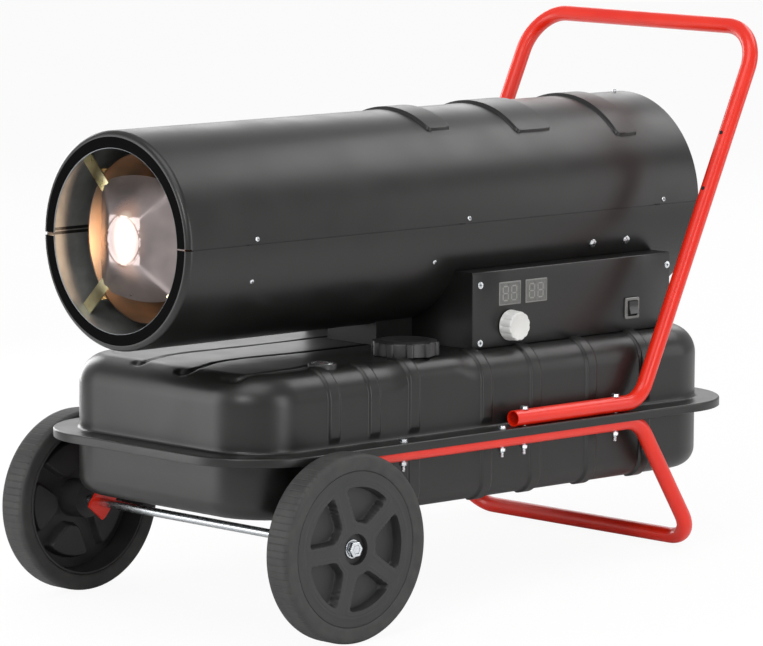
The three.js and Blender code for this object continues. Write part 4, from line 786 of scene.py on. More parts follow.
def pressed_depth(points):
    depth = np.zeros(len(points))
    for corners in PRESSED_LINES:
        distance = distance_to_line(points, smooth_line(corners))
        depth = np.maximum(depth, PRESSED_DEPTH * (1 - smooth_step(distance, PRESSED_FLOOR, PRESSED_BRINK)))
    return depth


# %% Tank nets
def front_lift(y, z):
    from_front = smooth_step(np.asarray(y), TANK_MIDDLE - TANK_HALF_LENGTH, 130)
    below = (LIFT_FROM - np.asarray(z)) / (LIFT_FROM - TANK_BOTTOM)
    return FRONT_LIFT * (1 - from_front) * np.clip(below, 0, 1)


def tank_net(profile, name, stands_for):
    points = []
    for row_inset, row_z, push_out, push_up in profile:
        on_edge = row_inset <= UPPER_EDGE and row_z >= TANK_TOP - UPPER_EDGE
        for station in TANK_STATIONS:
            rib = rib_share(station) * RIB_HEIGHT
            shrink = edge_share(station) if on_edge else 1.0
            inset = row_inset * shrink
            z = TANK_TOP - (TANK_TOP - row_z) * shrink
            x, y = tank_place(station, inset - rib * push_out)
            y += TANK_MIDDLE
            points.append((x, y, z + rib * push_up + float(front_lift(y, z))))
    points = np.array(points)
    high = points[:, 2] > TANK_TOP - PRESSED_BELOW_TOP
    points[high, 2] -= pressed_depth(points[high, :2])
    faces = net(len(profile), len(TANK_STATIONS), close_columns=True)
    return make_piece(name, points, faces, black_powder_coat, "black_paint", stands_for, crease=50)


def fillet(centre_inset, centre_z, radius, start, end, steps):
    rows = []
    for a in np.linspace(math.radians(start), math.radians(end), steps):
        out, up = math.cos(a), math.sin(a)
        rows.append((centre_inset - radius * out, centre_z + radius * up, out, up))
    return rows


def flange_bend(radius, z, upwards):
    bends = np.linspace(0.3, 1.571, 5)
    return [(-radius + radius * math.sin(a), z + upwards * radius * (1 - math.cos(a)), 0, 0) for a in bends]


# %% Tank shells
upper_profile = [(-33.6, 107.2, 0, 0), (-34.4, 107, 0, 0), (-35, 107.4, 0, 0), (-35, 116.4, 0, 0)]
bends = np.linspace(0.3, math.pi / 2, 5)
upper_profile += [(-35 + 2.6 * (1 - math.cos(a)), 116.4 + 2.6 * math.sin(a), 0, 0) for a in bends]
upper_profile += [(-20, FLANGE_TOP, 0, 0), (-4.5, FLANGE_TOP, 0, 0)]
upper_profile += flange_bend(4.5, FLANGE_TOP, 1)
upper_profile += [(0, 127, 0.2, 0), (0, 130, 0.7, 0), (0, 134, 1, 0), (0, 160, 1, 0)]
upper_profile += fillet(UPPER_EDGE, TANK_TOP - UPPER_EDGE, UPPER_EDGE, 0, 90, 26)
upper_profile += [(42, TANK_TOP, 0, 0.6), (44, TANK_TOP, 0, 0.2), (46, TANK_TOP, 0, 0)]
upper_profile += [(50, TANK_TOP - 0.3, 0, 0)]
tank_upper = tank_net(upper_profile, "tank_upper_pressing", ["tank_upper_shell"])
lower_profile = [(-33.4, 116.2, 0, 0), (-33.4, 115.0, 0, 0), (-5, 115.0, 0, 0)]
lower_profile += flange_bend(5, 115, -1)
lower_profile += [(0, 106, 0.2, 0), (0, 103, 0.7, 0), (0, 99, 1, 0), (0, 75, 1, 0)]
lower_profile += fillet(TANK_EDGE, TANK_BOTTOM + TANK_EDGE, TANK_EDGE, 0, -90, 13)
lower_profile += [(32, TANK_BOTTOM, 0, 0), (TANK_CORNER - 0.1, TANK_BOTTOM, 0, 0)]
tank_lower = tank_net(lower_profile, "tank_lower_pressing", ["tank_lower_shell"])
half_x = TANK_HALF_WIDTH - TANK_CORNER + 0.2
half_y = TANK_HALF_LENGTH - TANK_CORNER + 0.2
floor_rows = TANK_MIDDLE + np.linspace(-half_y, half_y, 30)
floor_points = []
for y in floor_rows:
    z = TANK_BOTTOM + float(front_lift(y, TANK_BOTTOM))
    floor_points += [(-half_x, y, z), (half_x, y, z)]
make_piece("tank_floor", floor_points, net(30, 2), black_powder_coat, "black_paint")
print("tank points:", len(tank_upper.data.vertices) + len(tank_lower.data.vertices))

# %% Tank top with its pressed lines
def clamp_to_plan(x, y, half_x, half_y, corner):
    cx = np.clip(x, -(half_x - corner), half_x - corner)
    cy = np.clip(y, -(half_y - corner), half_y - corner)
    reach = np.hypot(x - cx, y - cy)
    shrink = np.where(reach > corner, corner / np.maximum(reach, 1e-9), 1.0)
    return cx + (x - cx) * shrink, cy + (y - cy) * shrink


PLATE_INSET = 44.5
plate_half_x = TANK_HALF_WIDTH - PLATE_INSET
plate_half_y = TANK_HALF_LENGTH - PLATE_INSET
plate_x = np.linspace(-plate_half_x, plate_half_x, 124)
plate_y = np.concatenate([np.linspace(-plate_half_y, -5, 160), np.linspace(10, plate_half_y, 28)])
grid_x, grid_y = np.meshgrid(plate_x, plate_y, indexing="ij")
plan = (plate_half_x, plate_half_y, TANK_CORNER - PLATE_INSET)
flat_x, flat_y = clamp_to_plan(grid_x.ravel(), grid_y.ravel(), *plan)
plate_points = np.stack([flat_x, flat_y + TANK_MIDDLE], axis=-1)
plate = np.column_stack([plate_points, TANK_TOP - pressed_depth(plate_points)])
make_piece(
    "tank_top_sheet", plate, net(len(plate_x), len(plate_y)), black_powder_coat, "black_paint", crease=60
)
print("tank top points:", len(plate))

# %% [markdown]
# The push handle and the lower frame are each one steel tube, bent cold on a former, so the bends are arcs
# and the tube stays round. A path of straight runs and arcs is swept by a circle. The handle's feet are cut
# open, so the tube needs a wall and a dark inside there. A curve with a bevel would be simpler, but could
# not be pressed flat at the axle.


# %% Bent tubes
TUBE_SIDES = 28


def bent_path(corners, radii, straight_step=25.0):
    bend_step = 5.0
    corners = [np.array(corner, float) for corner in corners]
    stations = [corners[0]]
    directions = [(corners[1] - corners[0]) / np.linalg.norm(corners[1] - corners[0])]

    def run_to(target, direction):
        start = stations[-1]
        length = np.linalg.norm(target - start)
        steps = max(1, int(length / straight_step))
        for k in range(1, steps + 1):
            stations.append(start + (target - start) * k / steps)
            directions.append(direction)

    for i in range(1, len(corners) - 1):
        into = corners[i] - corners[i - 1]
        into /= np.linalg.norm(into)
        out = corners[i + 1] - corners[i]
        out /= np.linalg.norm(out)
        bend = math.acos(np.clip(into @ out, -1, 1))
        radius = radii[i - 1]
        setback = radius * math.tan(bend / 2)
        run_to(corners[i] - into * setback, into)
        inward = out - into
        centre = corners[i] + inward / np.linalg.norm(inward) * radius / math.cos(bend / 2)
        arm = stations[-1] - centre
        steps = max(3, int(radius * bend / bend_step))
        for k in range(1, steps + 1):
            a = bend * k / steps
            side = into * math.sin(a) * radius
            stations.append(centre + arm * math.cos(a) + side)
            directions.append(into * math.cos(a) - arm / radius * math.sin(a))
    run_to(corners[-1], directions[-1])
    return np.array(stations), np.array(directions)


def carried_frames(directions, first_across):
    across = np.array(first_across, float)
    frames = []
    for direction in directions:
        across = across - direction * (across @ direction)
        across /= np.linalg.norm(across)
        frames.append((across.copy(), np.cross(direction, across)))
    return frames


def swept_tube(stations, directions, radius, bore):
    sides, open_depth = TUBE_SIDES, 45.0
    frames = carried_frames(directions, (1, 0, 0))
    angles = np.arange(sides) * 2 * math.pi / sides

    def circle(i, r):
        across, up = frames[i]
        return stations[i] + r * (np.outer(np.cos(angles), across) + np.outer(np.sin(angles), up))

    rows = [circle(i, radius) for i in range(len(stations))]
    outer_faces = net(len(rows), sides, close_columns=True)
    parts = [(np.vstack(rows), outer_faces)]
    for end, towards in ((0, 1), (len(stations) - 1, -1)):
        inner = [circle(end, radius), circle(end, bore)]
        depth = directions[end] * towards * open_depth
        inner.append(circle(end, bore) + depth)
        inner.append(np.repeat(stations[end : end + 1] + depth, sides, axis=0))
        parts.append((np.vstack(inner), net(4, sides, close_columns=True)))
    return joined(parts)


# %% Push handle
TUBE_X = 220
TUBE_RADIUS = 11
HANDLE_FOOT_Z = 130.3
handle_side = [(TUBE_X, 352, HANDLE_FOOT_Z), (TUBE_X, 599, HANDLE_FOOT_Z), (TUBE_X, 837.5, 635.5)]
handle_corners = handle_side + [(-x, y, z) for x, y, z in handle_side[::-1]]
handle_line, handle_directions = bent_path(handle_corners, [42, 62, 62, 42])
push_handle = make_piece(
    "push_handle", *swept_tube(handle_line, handle_directions, TUBE_RADIUS, 9.5), red_powder_coat,
    "red_paint", ["handle_tube"]
)
leg_foot = np.array(handle_side[1], float)
leg_top = np.array(handle_side[2], float)
leg_way = (leg_top - leg_foot) / np.linalg.norm(leg_top - leg_foot)
leg_back = np.array([0, leg_way[2], -leg_way[1]])
# Painted shade: the drilled holes are thin near-black discs on the tube, standing for the shade inside them.
drilled = []
for share in (0.56, 0.71):
    for x in (-TUBE_X, TUBE_X):
        middle = leg_foot + (leg_top - leg_foot) * share
        middle[0] = x
        for side in (-1, 1):
            hole = [(0.01, 0.0), (2.6, 0.0), (3.0, 0.35), (0.01, 0.35)]
            outward = leg_back * side
            drilled.append(turned(hole, middle + outward * (TUBE_RADIUS - 0.15), outward, 16))
make_piece("drilled_hole_shade", *joined(drilled), painted_recess_shade, "black_plastic")
print("handle points:", len(push_handle.data.vertices))

# %% [markdown]
# The lower frame's front ends are pressed flat and drilled, so that the axle passes through them. Pressing
# keeps the tube's length round its wall, so the flat end is far wider than the tube. The sweep's section
# therefore goes from a circle to a thin flat oval over the last few centimetres, and ends in a square cut
# beyond the axle.

# %% Lower frame
LOWER_TUBE_Z = 104.61
FLAT_HALF_THICK = 2.0
FLAT_HALF_WIDE = 18.5
FLAT_UNTIL, ROUND_FROM = 34, 66
axle_slope = math.atan2(LOWER_TUBE_Z, 86)
axle_way = np.array([0, math.cos(axle_slope), math.sin(axle_slope)])
lower_side = [axle_way * -18, np.array([0, 86, LOWER_TUBE_Z]), np.array([0, 597.5, LOWER_TUBE_Z])]
lower_side.append(np.array([0, 713.5, -75.4]))
lower_side = [corner + np.array([TUBE_X, 0, 0]) for corner in lower_side]
lower_corners = lower_side + [corner * np.array([-1, 1, 1]) for corner in lower_side[::-1]]
lower_line, lower_directions = bent_path(lower_corners, [45, 45, 45, 45, 45, 45], straight_step=6.0)
lower_frames = carried_frames(lower_directions, (1, 0, 0))
run_lengths = np.concatenate([[0], np.cumsum(np.linalg.norm(np.diff(lower_line, axis=0), axis=1))])
whole_run = run_lengths[-1]
section_angles = np.arange(TUBE_SIDES) * 2 * math.pi / TUBE_SIDES
lower_rows = []
for i, station in enumerate(lower_line):
    from_end = min(run_lengths[i], whole_run - run_lengths[i])
    pressed = 1 - smooth_step(np.array(from_end), FLAT_UNTIL, ROUND_FROM)
    tip = 1.0 - 0.12 * max(0.0, 1 - from_end / 2.5)
    half_thick = TUBE_RADIUS * (1 - pressed) + FLAT_HALF_THICK * pressed
    half_wide = TUBE_RADIUS * (1 - pressed) + FLAT_HALF_WIDE * pressed
    cosine = np.cos(section_angles)
    sine = np.sin(section_angles)
    power = 1 - 0.55 * pressed
    thin = np.sign(cosine) * np.abs(cosine) ** power * half_thick
    wide = np.sign(sine) * np.abs(sine) ** (1 - 0.2 * pressed) * half_wide * tip
    across, up = lower_frames[i]
    lower_rows.append(station + np.outer(thin, across) + np.outer(wide, up))
lower_faces = net(len(lower_rows), TUBE_SIDES, close_columns=True)
last = (len(lower_rows) - 1) * TUBE_SIDES
lower_faces += [list(range(TUBE_SIDES))[::-1], [last + k for k in range(TUBE_SIDES)]]
make_piece(
    "lower_frame", np.vstack(lower_rows), lower_faces, red_powder_coat, "red_paint", ["lower_frame_tube"],
    crease=45
)
print("lower frame run in mm:", round(float(whole_run)))

# %% [markdown]
# Eight M6 bolts clamp the two tubes and the flange together. A hexagon with a chamfered top, a shank, a nut
# and a few turns of thread are turned from one profile each. The thread's 1 mm pitch is drawn as rings,
# which look the same as a helix from a step away.


# %% Frame bolts
def hexagon_piece(across_flats, low, high, centre, chamfer_low=False):
    corner = across_flats / math.sqrt(3)
    rows = [(0.01, low)]
    rows += [(corner * 0.9, low), (corner, low + 0.7)] if chamfer_low else [(corner, low)]
    rows += [(corner, high - 0.7), (corner * 0.9, high), (0.01, high)]
    return turned(rows, centre, "z", 6)


def threaded_rod(radius, low, high, centre):
    pitch = 1.0
    rows = [(0.01, low), (radius - 0.6, low)]
    height = low + 0.5
    while height < high - pitch:
        rows += [(radius, height + pitch * 0.25), (radius - 0.5, height + pitch * 0.75)]
        height += pitch
    rows += [(radius, high), (0.01, high)]
    return turned(rows, centre, "z", 16)


def frame_bolt(x, y, seat):
    under = LOWER_TUBE_Z - TUBE_RADIUS - 0.69
    foot = (x, y, 0)
    head = hexagon_piece(10, seat + 0.3, seat + 4.3, foot)
    washer_low, washer_high = seat + 0.05, seat + 0.75
    washer_section = [(3.2, washer_low), (6.2, washer_low), (6.2, washer_high), (3.2, washer_high)]
    washer = turned(rounded(washer_section, 0.2), foot, "z", 24)
    nut = hexagon_piece(10, under - 5, under, foot, chamfer_low=True)
    tail = threaded_rod(3, under - 13, under, foot)
    shank_section = [(0.01, under), (3, under), (3, seat + 0.5), (0.01, seat + 0.5)]
    return joined([head, washer, nut, tail, turned(rounded(shank_section, 0.1), foot, "z", 16)])


SIDES = ((1, "near"), (-1, "far"))
BOLT_ROWS = (((146, 331), FLANGE_TOP), ((373, 551), HANDLE_FOOT_Z + TUBE_RADIUS))
for side, label in SIDES:
    number = 1
    for places, seat in BOLT_ROWS:
        for y in places:
            make_piece(
                f"bolt_{label}_{number}", *frame_bolt(side * TUBE_X, y, seat), zinc_plate, "zinc",
                [f"frame_bolt_{label}_{number}"], crease=25
            )
            number += 1
print("bolts made")

# %% [markdown]
# The wheels are moulded in one shot with five pockets between wide spokes. A mould has no sharp inner
# corners: pockets have rounded corners and drafted sides. So each face is a height map in polar form. The
# depth of a point comes from its distance to the pocket's outline. Wall thickness is even in a moulding, so
# on the inner side, which is a deep bowl, the pockets show as five raised backs.

# %% Wheel face
SPOKES = 5
FIRST_SPOKE = math.radians(107)
SPOKE_HALF_WIDTH = 12.5
POCKET_FROM, POCKET_TO = 36, 81.5
POCKET_DEPTH = 13.5
RECESS = 21
WHEEL_X = 265.0
WHEEL_HALF = 19.0


def pocket_inside(radius, angle):
    nearest = np.full_like(radius, 1e9)
    for k in range(SPOKES):
        offset = angle - FIRST_SPOKE - k * 2 * math.pi / SPOKES
        across = np.abs(radius * np.sin(offset))
        nearest = np.where(np.cos(offset) > 0, np.minimum(nearest, across), nearest)
    walls = np.stack([radius - POCKET_FROM, POCKET_TO - radius, np.minimum(nearest - SPOKE_HALF_WIDTH, 60)])
    soft = 2.6
    return -soft * np.log(np.sum(np.exp(-walls / soft), axis=0))


def outer_face(radius, angle):
    inside = pocket_inside(radius, angle)
    pocket = POCKET_DEPTH * smooth_step(inside, -1.0, 2.0)
    edge_bead = 0.5 * np.exp(-(((inside + 5.5) / 1.6) ** 2)) * (radius > 30) * (radius < 88)
    ring_bead = 0.7 * np.exp(-(((radius - 91) / 1.5) ** 2))
    face = WHEEL_HALF - pocket + edge_bead + ring_bead
    return np.where(radius < RECESS - 0.4, 11.0, face)


def inner_face(radius, angle):
    web = 15.0 - 13.0 * smooth_step(pocket_inside(radius, angle), -2.0, 2.5)
    rim = smooth_step(radius, 96.5, 99.5)
    boss = 1 - smooth_step(radius, 24, 26.5)
    return web * (1 - rim) * (1 - boss) - WHEEL_HALF * np.maximum(rim, boss)


wheel_radii = np.concatenate(
    [[6.6, 12, 18, 20.4, 20.6, 21.2, 22, 24], np.arange(24.6, 93, 0.9), [95, 96.5, 98, 99.5, 101.6, 102.5]]
)
wheel_angles = np.arange(300) * 2 * math.pi / 300
radius_grid, angle_grid = np.meshgrid(wheel_radii, wheel_angles, indexing="ij")
front_height = outer_face(radius_grid, angle_grid)
front_height[-1] -= 0.3
back_height = inner_face(radius_grid, angle_grid)
back_height[-1] += 0.9


def wheel_points(side):
    y = side * radius_grid * np.cos(angle_grid) + AXLE_MM[1]
    z = radius_grid * np.sin(angle_grid) + AXLE_MM[2]
    outer = np.stack([side * (WHEEL_X + front_height), y, z], axis=-1).reshape(-1, 3)
    inner = np.stack([side * (WHEEL_X + back_height), y, z], axis=-1)[::-1].reshape(-1, 3)
    return np.vstack([outer, inner]), net(2 * len(wheel_radii), len(wheel_angles), True, True)


for side, label in SIDES:
    wheel = make_piece(
        f"wheel_centre_{label}", *wheel_points(side), polypropylene, "black_plastic", [f"wheel_{label}"],
        body=f"{label}_running_wheel", crease=50, level=False
    )
print("wheel points:", len(wheel.data.vertices))

# %% Tyres, hub nuts and axle
TYRE_PROFILE = [(102.7, -19.2), (107, -20.6), (117.5, -21.6), (121.5, -20.8), (124.3, -17), (125, -13)]
TYRE_PROFILE += [(r, -x) for r, x in TYRE_PROFILE[::-1]]
NUT_PROFILE = [(6.2, 13.2), (10.4, 13.2), (10.97, 14.0), (10.97, 19.6), (10.2, 20.4), (6.6, 20.4)]
WASHER_PROFILE = [(6.3, 11.4), (12.5, 11.4), (12.5, 13.0), (6.3, 13.0)]
for side, label in SIDES:
    axle_at = AXLE_MM + np.array([side * WHEEL_X, 0, 0])
    make_piece(
        f"tyre_tread_{label}", *turned(rounded(TYRE_PROFILE, 3.0), axle_at, "x", 144), solid_tyre_rubber,
        "tyre", [f"tyre_{label}"], body=f"{label}_running_wheel", crease=60, level=False
    )
    nut = turned(NUT_PROFILE, axle_at, (side, 0, 0), 6)
    washer = turned(rounded(WASHER_PROFILE, 0.3), axle_at, (side, 0, 0), 40)
    make_piece(
        f"axle_nut_{label}", *joined([nut, washer]), zinc_plate, "zinc", [f"hub_nut_{label}"],
        body=f"{label}_running_wheel", crease=25, level=False
    )
AXLE_HALF = 285.7
axle_profile = [(0.01, -AXLE_HALF), (4.8, -AXLE_HALF), (6, 1.2 - AXLE_HALF)]
axle_profile += [(radius, -x) for radius, x in axle_profile[::-1]]
make_piece(
    "axle_bar", *turned(axle_profile, AXLE_MM, "x", 40), zinc_plate, "zinc", ["axle_rod"], crease=30,
    level=False
)
print("tyres and nuts made")

# %% [markdown]
# The flame deflector is a square stainless plate pressed into four lobes round a flat middle: the creases
# run from the middle to the corners, the edges bow outwards between them, and narrow straps at the corners
# carry it in front of the chamber. Its height map blends a round middle into a square rim, by a norm whose
# power grows outwards, which is how a press tool's soft corners look.


# %% Flame deflector
DEFLECTOR_HALF = 69.0
DISC_RADIUS = 29
DISH_DEPTH = 23
EDGE_BELLY = 9
EDGE_BOW = 14
DEFLECTOR_Y = BARREL_FRONT + 40


def deflector_height(x, z):
    half = DEFLECTOR_HALF
    radial = np.hypot(x, z)
    power = 2 + 16 * smooth_step(radial, 18, 46)
    big = np.maximum(np.maximum(np.abs(x), np.abs(z)), 1e-6)
    small = np.minimum(np.abs(x), np.abs(z))
    out = big * (1 + (small / big) ** power) ** (1 / power)
    out = np.minimum(out, np.maximum(radial, big))
    along = np.clip(small / half, 0, 1)
    slope = np.clip((out - DISC_RADIUS) / (half - DISC_RADIUS), 0, 1)
    slope = slope * 0.92 + 0.08 * smooth_step(slope, 0, 1)
    belly = np.clip(big / half, 0, 1) * (1 - along**2)
    bow = 1 + EDGE_BOW / half * belly
    ring = 0.9 * np.exp(-(((radial - 30) / 1.3) ** 2))
    return x * bow, -DISH_DEPTH * (1 - slope) + EDGE_BELLY * belly * slope - ring, z * bow


side_steps = np.linspace(-DEFLECTOR_HALF, DEFLECTOR_HALF, 93)
sheet_x, sheet_z = np.meshgrid(side_steps, side_steps, indexing="ij")
pressed_x, pressed_y, pressed_z = deflector_height(sheet_x, sheet_z)
count = len(side_steps)


def deflector_skin(lift):
    y = pressed_y + DEFLECTOR_Y + lift
    return np.stack([pressed_x, y, pressed_z + BARREL_Z], axis=-1).reshape(-1, 3)


front_faces = net(count, count)
rim = list(range(count)) + [i * count + count - 1 for i in range(1, count)]
rim += [(count - 1) * count + i for i in range(count - 2, -1, -1)]
rim += [i * count for i in range(count - 2, 0, -1)]
shift = count * count
back_faces = [[i + shift for i in face[::-1]] for face in front_faces]
rim_faces = [[a, b, b + shift, a + shift] for a, b in zip(rim, rim[1:] + rim[:1])]
deflector_points = np.vstack([deflector_skin(-0.75), deflector_skin(0.75)])
deflector = make_piece(
    "deflector_plate", deflector_points, front_faces + back_faces + rim_faces, deflector_stainless,
    "heated_steel", ["flame_deflector"], crease=24
)


def bar_between(corners_low, corners_high):
    points = list(corners_low) + list(corners_high)
    return points, [[0, 1, 2, 3], [7, 6, 5, 4], [0, 4, 5, 1], [1, 5, 6, 2], [2, 6, 7, 3], [3, 7, 4, 0]]


def strap(angle):
    way = np.array([math.cos(angle), 0, math.sin(angle)])
    side = np.array([-math.sin(angle), 0, math.cos(angle)])
    bars = []
    base = np.array([0, BARREL_FRONT, BARREL_Z], float)
    for inner, outer, y0, y1 in ((90.5, 142.6, 38.9, 40.9), (113.4, 114.9, 39.3, 65.0)):
        low, high = [], []
        for target, y in ((low, y0), (high, y1)):
            for reach, half in ((inner, -9), (outer, -9), (outer, 9), (inner, 9)):
                target.append(base + way * reach + side * half + np.array([0, y, 0]))
        bars.append(bar_between(low, high))
    return joined(bars)


corner_straps = make_piece(
    "corner_straps", *joined([strap(math.pi / 4 + k * math.pi / 2) for k in range(4)]), straw_stainless,
    "heated_steel", crease=30
)
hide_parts("flame_deflector")
chamber_profile = [(113, 52.2), (112.2, 51), (111.5, 52.2), (111.5, 458), (113, 458)]
make_piece(
    "chamber_tube",
    *turned([(r, y + BARREL_FRONT) for r, y in chamber_profile], (0, 0, BARREL_Z), "y", 110),
    chamber_stainless, "heated_steel", ["combustion_chamber"], crease=30
)
print("deflector points:", len(deflector.data.vertices))

# %% [markdown]
# The control panel is one folded sheet: a face and a lip that reaches in over the box to the barrel. A
# folded edge has an outer radius of about twice the sheet, and that radius catches the light as the thin
# bright line along the panel's top. The fold is drawn as an arc in the sheet's section, and the section is
# drawn out along the box.

# %% Control panel
BOX_FRONT = 328
BOX_REAR = 716
PANEL_LOW = 220.7
PANEL_TOP = 324.5
FOLD = 2.6
lip_inner = math.sqrt(145.4**2 - (BARREL_Z - PANEL_TOP) ** 2)
section = [(PANEL_X - 1.2, PANEL_LOW), (PANEL_X - 0.4, PANEL_LOW), (PANEL_X, PANEL_LOW + 0.5)]
bends = np.linspace(0, math.pi / 2, 9)
section += [(PANEL_X - FOLD + FOLD * math.cos(a), PANEL_TOP - FOLD + FOLD * math.sin(a)) for a in bends]
section += [(lip_inner, PANEL_TOP), (lip_inner, PANEL_TOP - 1.2), (PANEL_X - FOLD, PANEL_TOP - 1.2)]
section += [(PANEL_X - 1.2, PANEL_TOP - FOLD)]
panel_stations = [BOX_FRONT, BOX_FRONT + 0.5, BOX_FRONT + 60, 522]
panel_stations += [BOX_REAR - 60, BOX_REAR - 0.5, BOX_REAR]
panel_points = []
for index, y in enumerate(panel_stations):
    trim = 0.35 if index in (0, len(panel_stations) - 1) else 0.0
    for x, z in section:
        panel_points.append((x - trim * (x > PANEL_X - 1), y, z - trim * (z > PANEL_TOP - 0.5)))
panel_faces = net(len(panel_stations), len(section), close_columns=True)
end = (len(panel_stations) - 1) * len(section)
panel_faces += [list(range(len(section)))[::-1], [end + k for k in range(len(section))]]
make_piece(
    "panel_sheet", panel_points, panel_faces, panel_powder_coat, "black_paint", ["control_panel"], crease=40
)
print("panel lip reaches in to x =", round(lip_inner, 1))

# %% [markdown]
# The two displays are small windows with a moulded rim. Unlit seven-segment digits show as slightly paler
# bars on grey. Each digit is drawn from seven six-sided bars, so that each window reads 88. There is no
# other writing.


# %% Displays
def rounded_rectangle(half_width, half_height, corner):
    loop = []
    for sx, sy, start in ((1, 1, 0), (-1, 1, 90), (-1, -1, 180), (1, -1, 270)):
        for a in np.linspace(math.radians(start), math.radians(start + 90), 5):
            y = sx * (half_width - corner) + corner * math.cos(a)
            loop.append((y, sy * (half_height - corner) + corner * math.sin(a)))
    return np.array(loop)


def panel_plate(y, z, half_width, half_height, corner, x0, x1, hole=None, edge=0.4):
    loops = [(half_width, half_height, corner, x0), (half_width, half_height, corner, x1 - edge)]
    loops.append((half_width - edge, half_height - edge, max(corner - edge, 0.2), x1))
    if hole:
        loops += [(*hole, x1), (*hole, x0)]
    else:
        loops.append((0.01, 0.01, 0.005, x1))
    points = []
    for a, b, c, x in loops:
        points += [(x, y + p[0], z + p[1]) for p in rounded_rectangle(a, b, c)]
    return points, net(len(loops), 20, close_columns=True)


DISPLAY_Z = 292
frames = []
panes = []
bars = []
LEVEL_SEGMENTS = [(0, 1), (0, -1), (0, 0)]
UPRIGHT_SEGMENTS = [(1, 0.5), (1, -0.5), (-1, -0.5), (-1, 0.5)]
for display_y in (399, 450):
    back = PANEL_X - 0.1
    frames.append(panel_plate(display_y, DISPLAY_Z, 21, 16, 1.2, back, PANEL_X + 0.7, hole=(19.2, 14.2, 0.6)))
    panes.append(panel_plate(display_y, DISPLAY_Z, 19.3, 14.3, 0.5, back, PANEL_X + 0.25, edge=0.1))
    for digit_y in (display_y - 8.2, display_y + 8.2):
        for sy, sz in LEVEL_SEGMENTS + UPRIGHT_SEGMENTS:
            length, thick = 4.2, 0.95
            along, across = np.array([0, 1.0, 0]), np.array([0, 0, 1.0])
            if (sy, sz) in UPRIGHT_SEGMENTS:
                along, across = across, along
            middle = np.array([PANEL_X + 0.31, digit_y + sy * 4.9, DISPLAY_Z + sz * 9.6])
            outline = [(-length, 0), (-length + 0.9, -thick), (length - 0.9, -thick), (length, 0)]
            outline += [(length - 0.9, thick), (-length + 0.9, thick)]
            bars.append(([middle + along * a + across * b for a, b in outline], [[0, 1, 2, 3, 4, 5]]))
make_piece("display_frames", *joined(frames), window_frame, "black_plastic", crease=30)
display_panes = make_piece("display_panes", *joined(panes), smoked_acrylic, "display", crease=30)
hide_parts("display_left", "display_right")
make_piece("display_digits", *joined(bars), digit_film, "display")
print("digit bars:", len(bars))

# %% [markdown]
# The thermostat's knob is pressed onto a spindle. Its grip is fluted, so the radius of each row of points
# swings in and out twelve times round, most near the face and not at all at the skirt. It rides on the
# knob's own body.

# %% Thermostat knob
KNOB_Y = 398.5
KNOB_Z = 248.5
FLUTES = 12


def flute_swell(turns, _):
    return 1.25 * (np.abs(np.sin(turns * FLUTES / 2)) ** 0.7 - 1)


knob_rows = [(0.01, 166.0, 0), (20.4, 166.0, 0), (21, 166.6, 0), (21, 168.4, 0), (20.9, 169.2, 0.6)]
knob_rows += [(20.5, 172, 1), (20.2, 180, 1), (19.9, 184.0, 1), (19.3, 185.3, 1), (18.3, 185.95, 0.9)]
knob_rows += [(16.6, 186, 0.6), (15.6, 185.7, 0.2), (15.0, 185.4, 0), (0.01, 185.4, 0)]
across, up, height = swelled(knob_rows, 144, flute_swell)
knob_points = np.column_stack([height, KNOB_Y + across, KNOB_Z + up])
make_piece(
    "thermostat_knob", knob_points, net(len(knob_rows), 144, close_columns=True), silver_abs,
    "pale_plastic", ["knob"], body="dial_knob", crease=30
)
print("knob points:", len(knob_points))

# %% Rocker switch
SWITCH_Y = 639.5
SWITCH_Z = 251.8
ROCKER_PIVOT_X = 162
bezel = panel_plate(SWITCH_Y, SWITCH_Z, 14, 14.75, 2.2, 165.3, 167.5, hole=(9.6, 11, 0.8), edge=0.9)
well = panel_plate(SWITCH_Y, SWITCH_Z, 9.9, 11.3, 0.6, 152.5, 152.9, edge=0.1)
make_piece("switch_frame", *joined([bezel, well]), bezel_abs, "black_plastic", ["switch_housing"])
rest_tip = math.radians(-8)
rocker_profile = [(-8.5, -1), (-3, -3), (3, -3), (8.5, -1), (9.3, 8.6), (8.6, 9.5)]
rocker_profile += [(4, 8.5), (0, 7.9), (-4, 8.5), (-8.6, 9.5), (-9.3, 8.6)]
rocker_points = []
for y, inset in ((-9, 0.5), (-8.5, 0), (8.5, 0), (9, 0.5)):
    for up, out in rocker_profile:
        out = out - (inset if out > 5 else 0)
        x = out * math.cos(rest_tip) + up * math.sin(rest_tip)
        z = -out * math.sin(rest_tip) + up * math.cos(rest_tip)
        rocker_points.append((ROCKER_PIVOT_X + x, SWITCH_Y + y, SWITCH_Z + z))
size = len(rocker_profile)
rocker_faces = net(4, size, close_columns=True)
rocker_faces += [list(range(size)), [3 * size + k for k in range(size)][::-1]]
make_piece(
    "rocker_key", rocker_points, rocker_faces, gloss_abs, "black_plastic", ["rocker"], body="switch_rocker",
    crease=30
)

# %% [markdown]
# The filler cap is a moulded plastic lid with ten finger lugs round its skirt and a shallow raised ring on
# its top. The lugs are part of the turned surface: the radius swells at each lug. The cap rides on the
# screw body, so it lifts as it turns. The gauge beside it is a turned bezel over nine dial marks.

# %% Filler cap and fuel gauge
LUGS = 10


def lug_swell(turns, radius):
    phase = (turns * LUGS / (2 * math.pi) + 0.5) % 1 - 0.5
    return 2.9 * (1 - smooth_step(np.abs(phase) * 2 * math.pi * radius / LUGS, 3.9, 5.6))


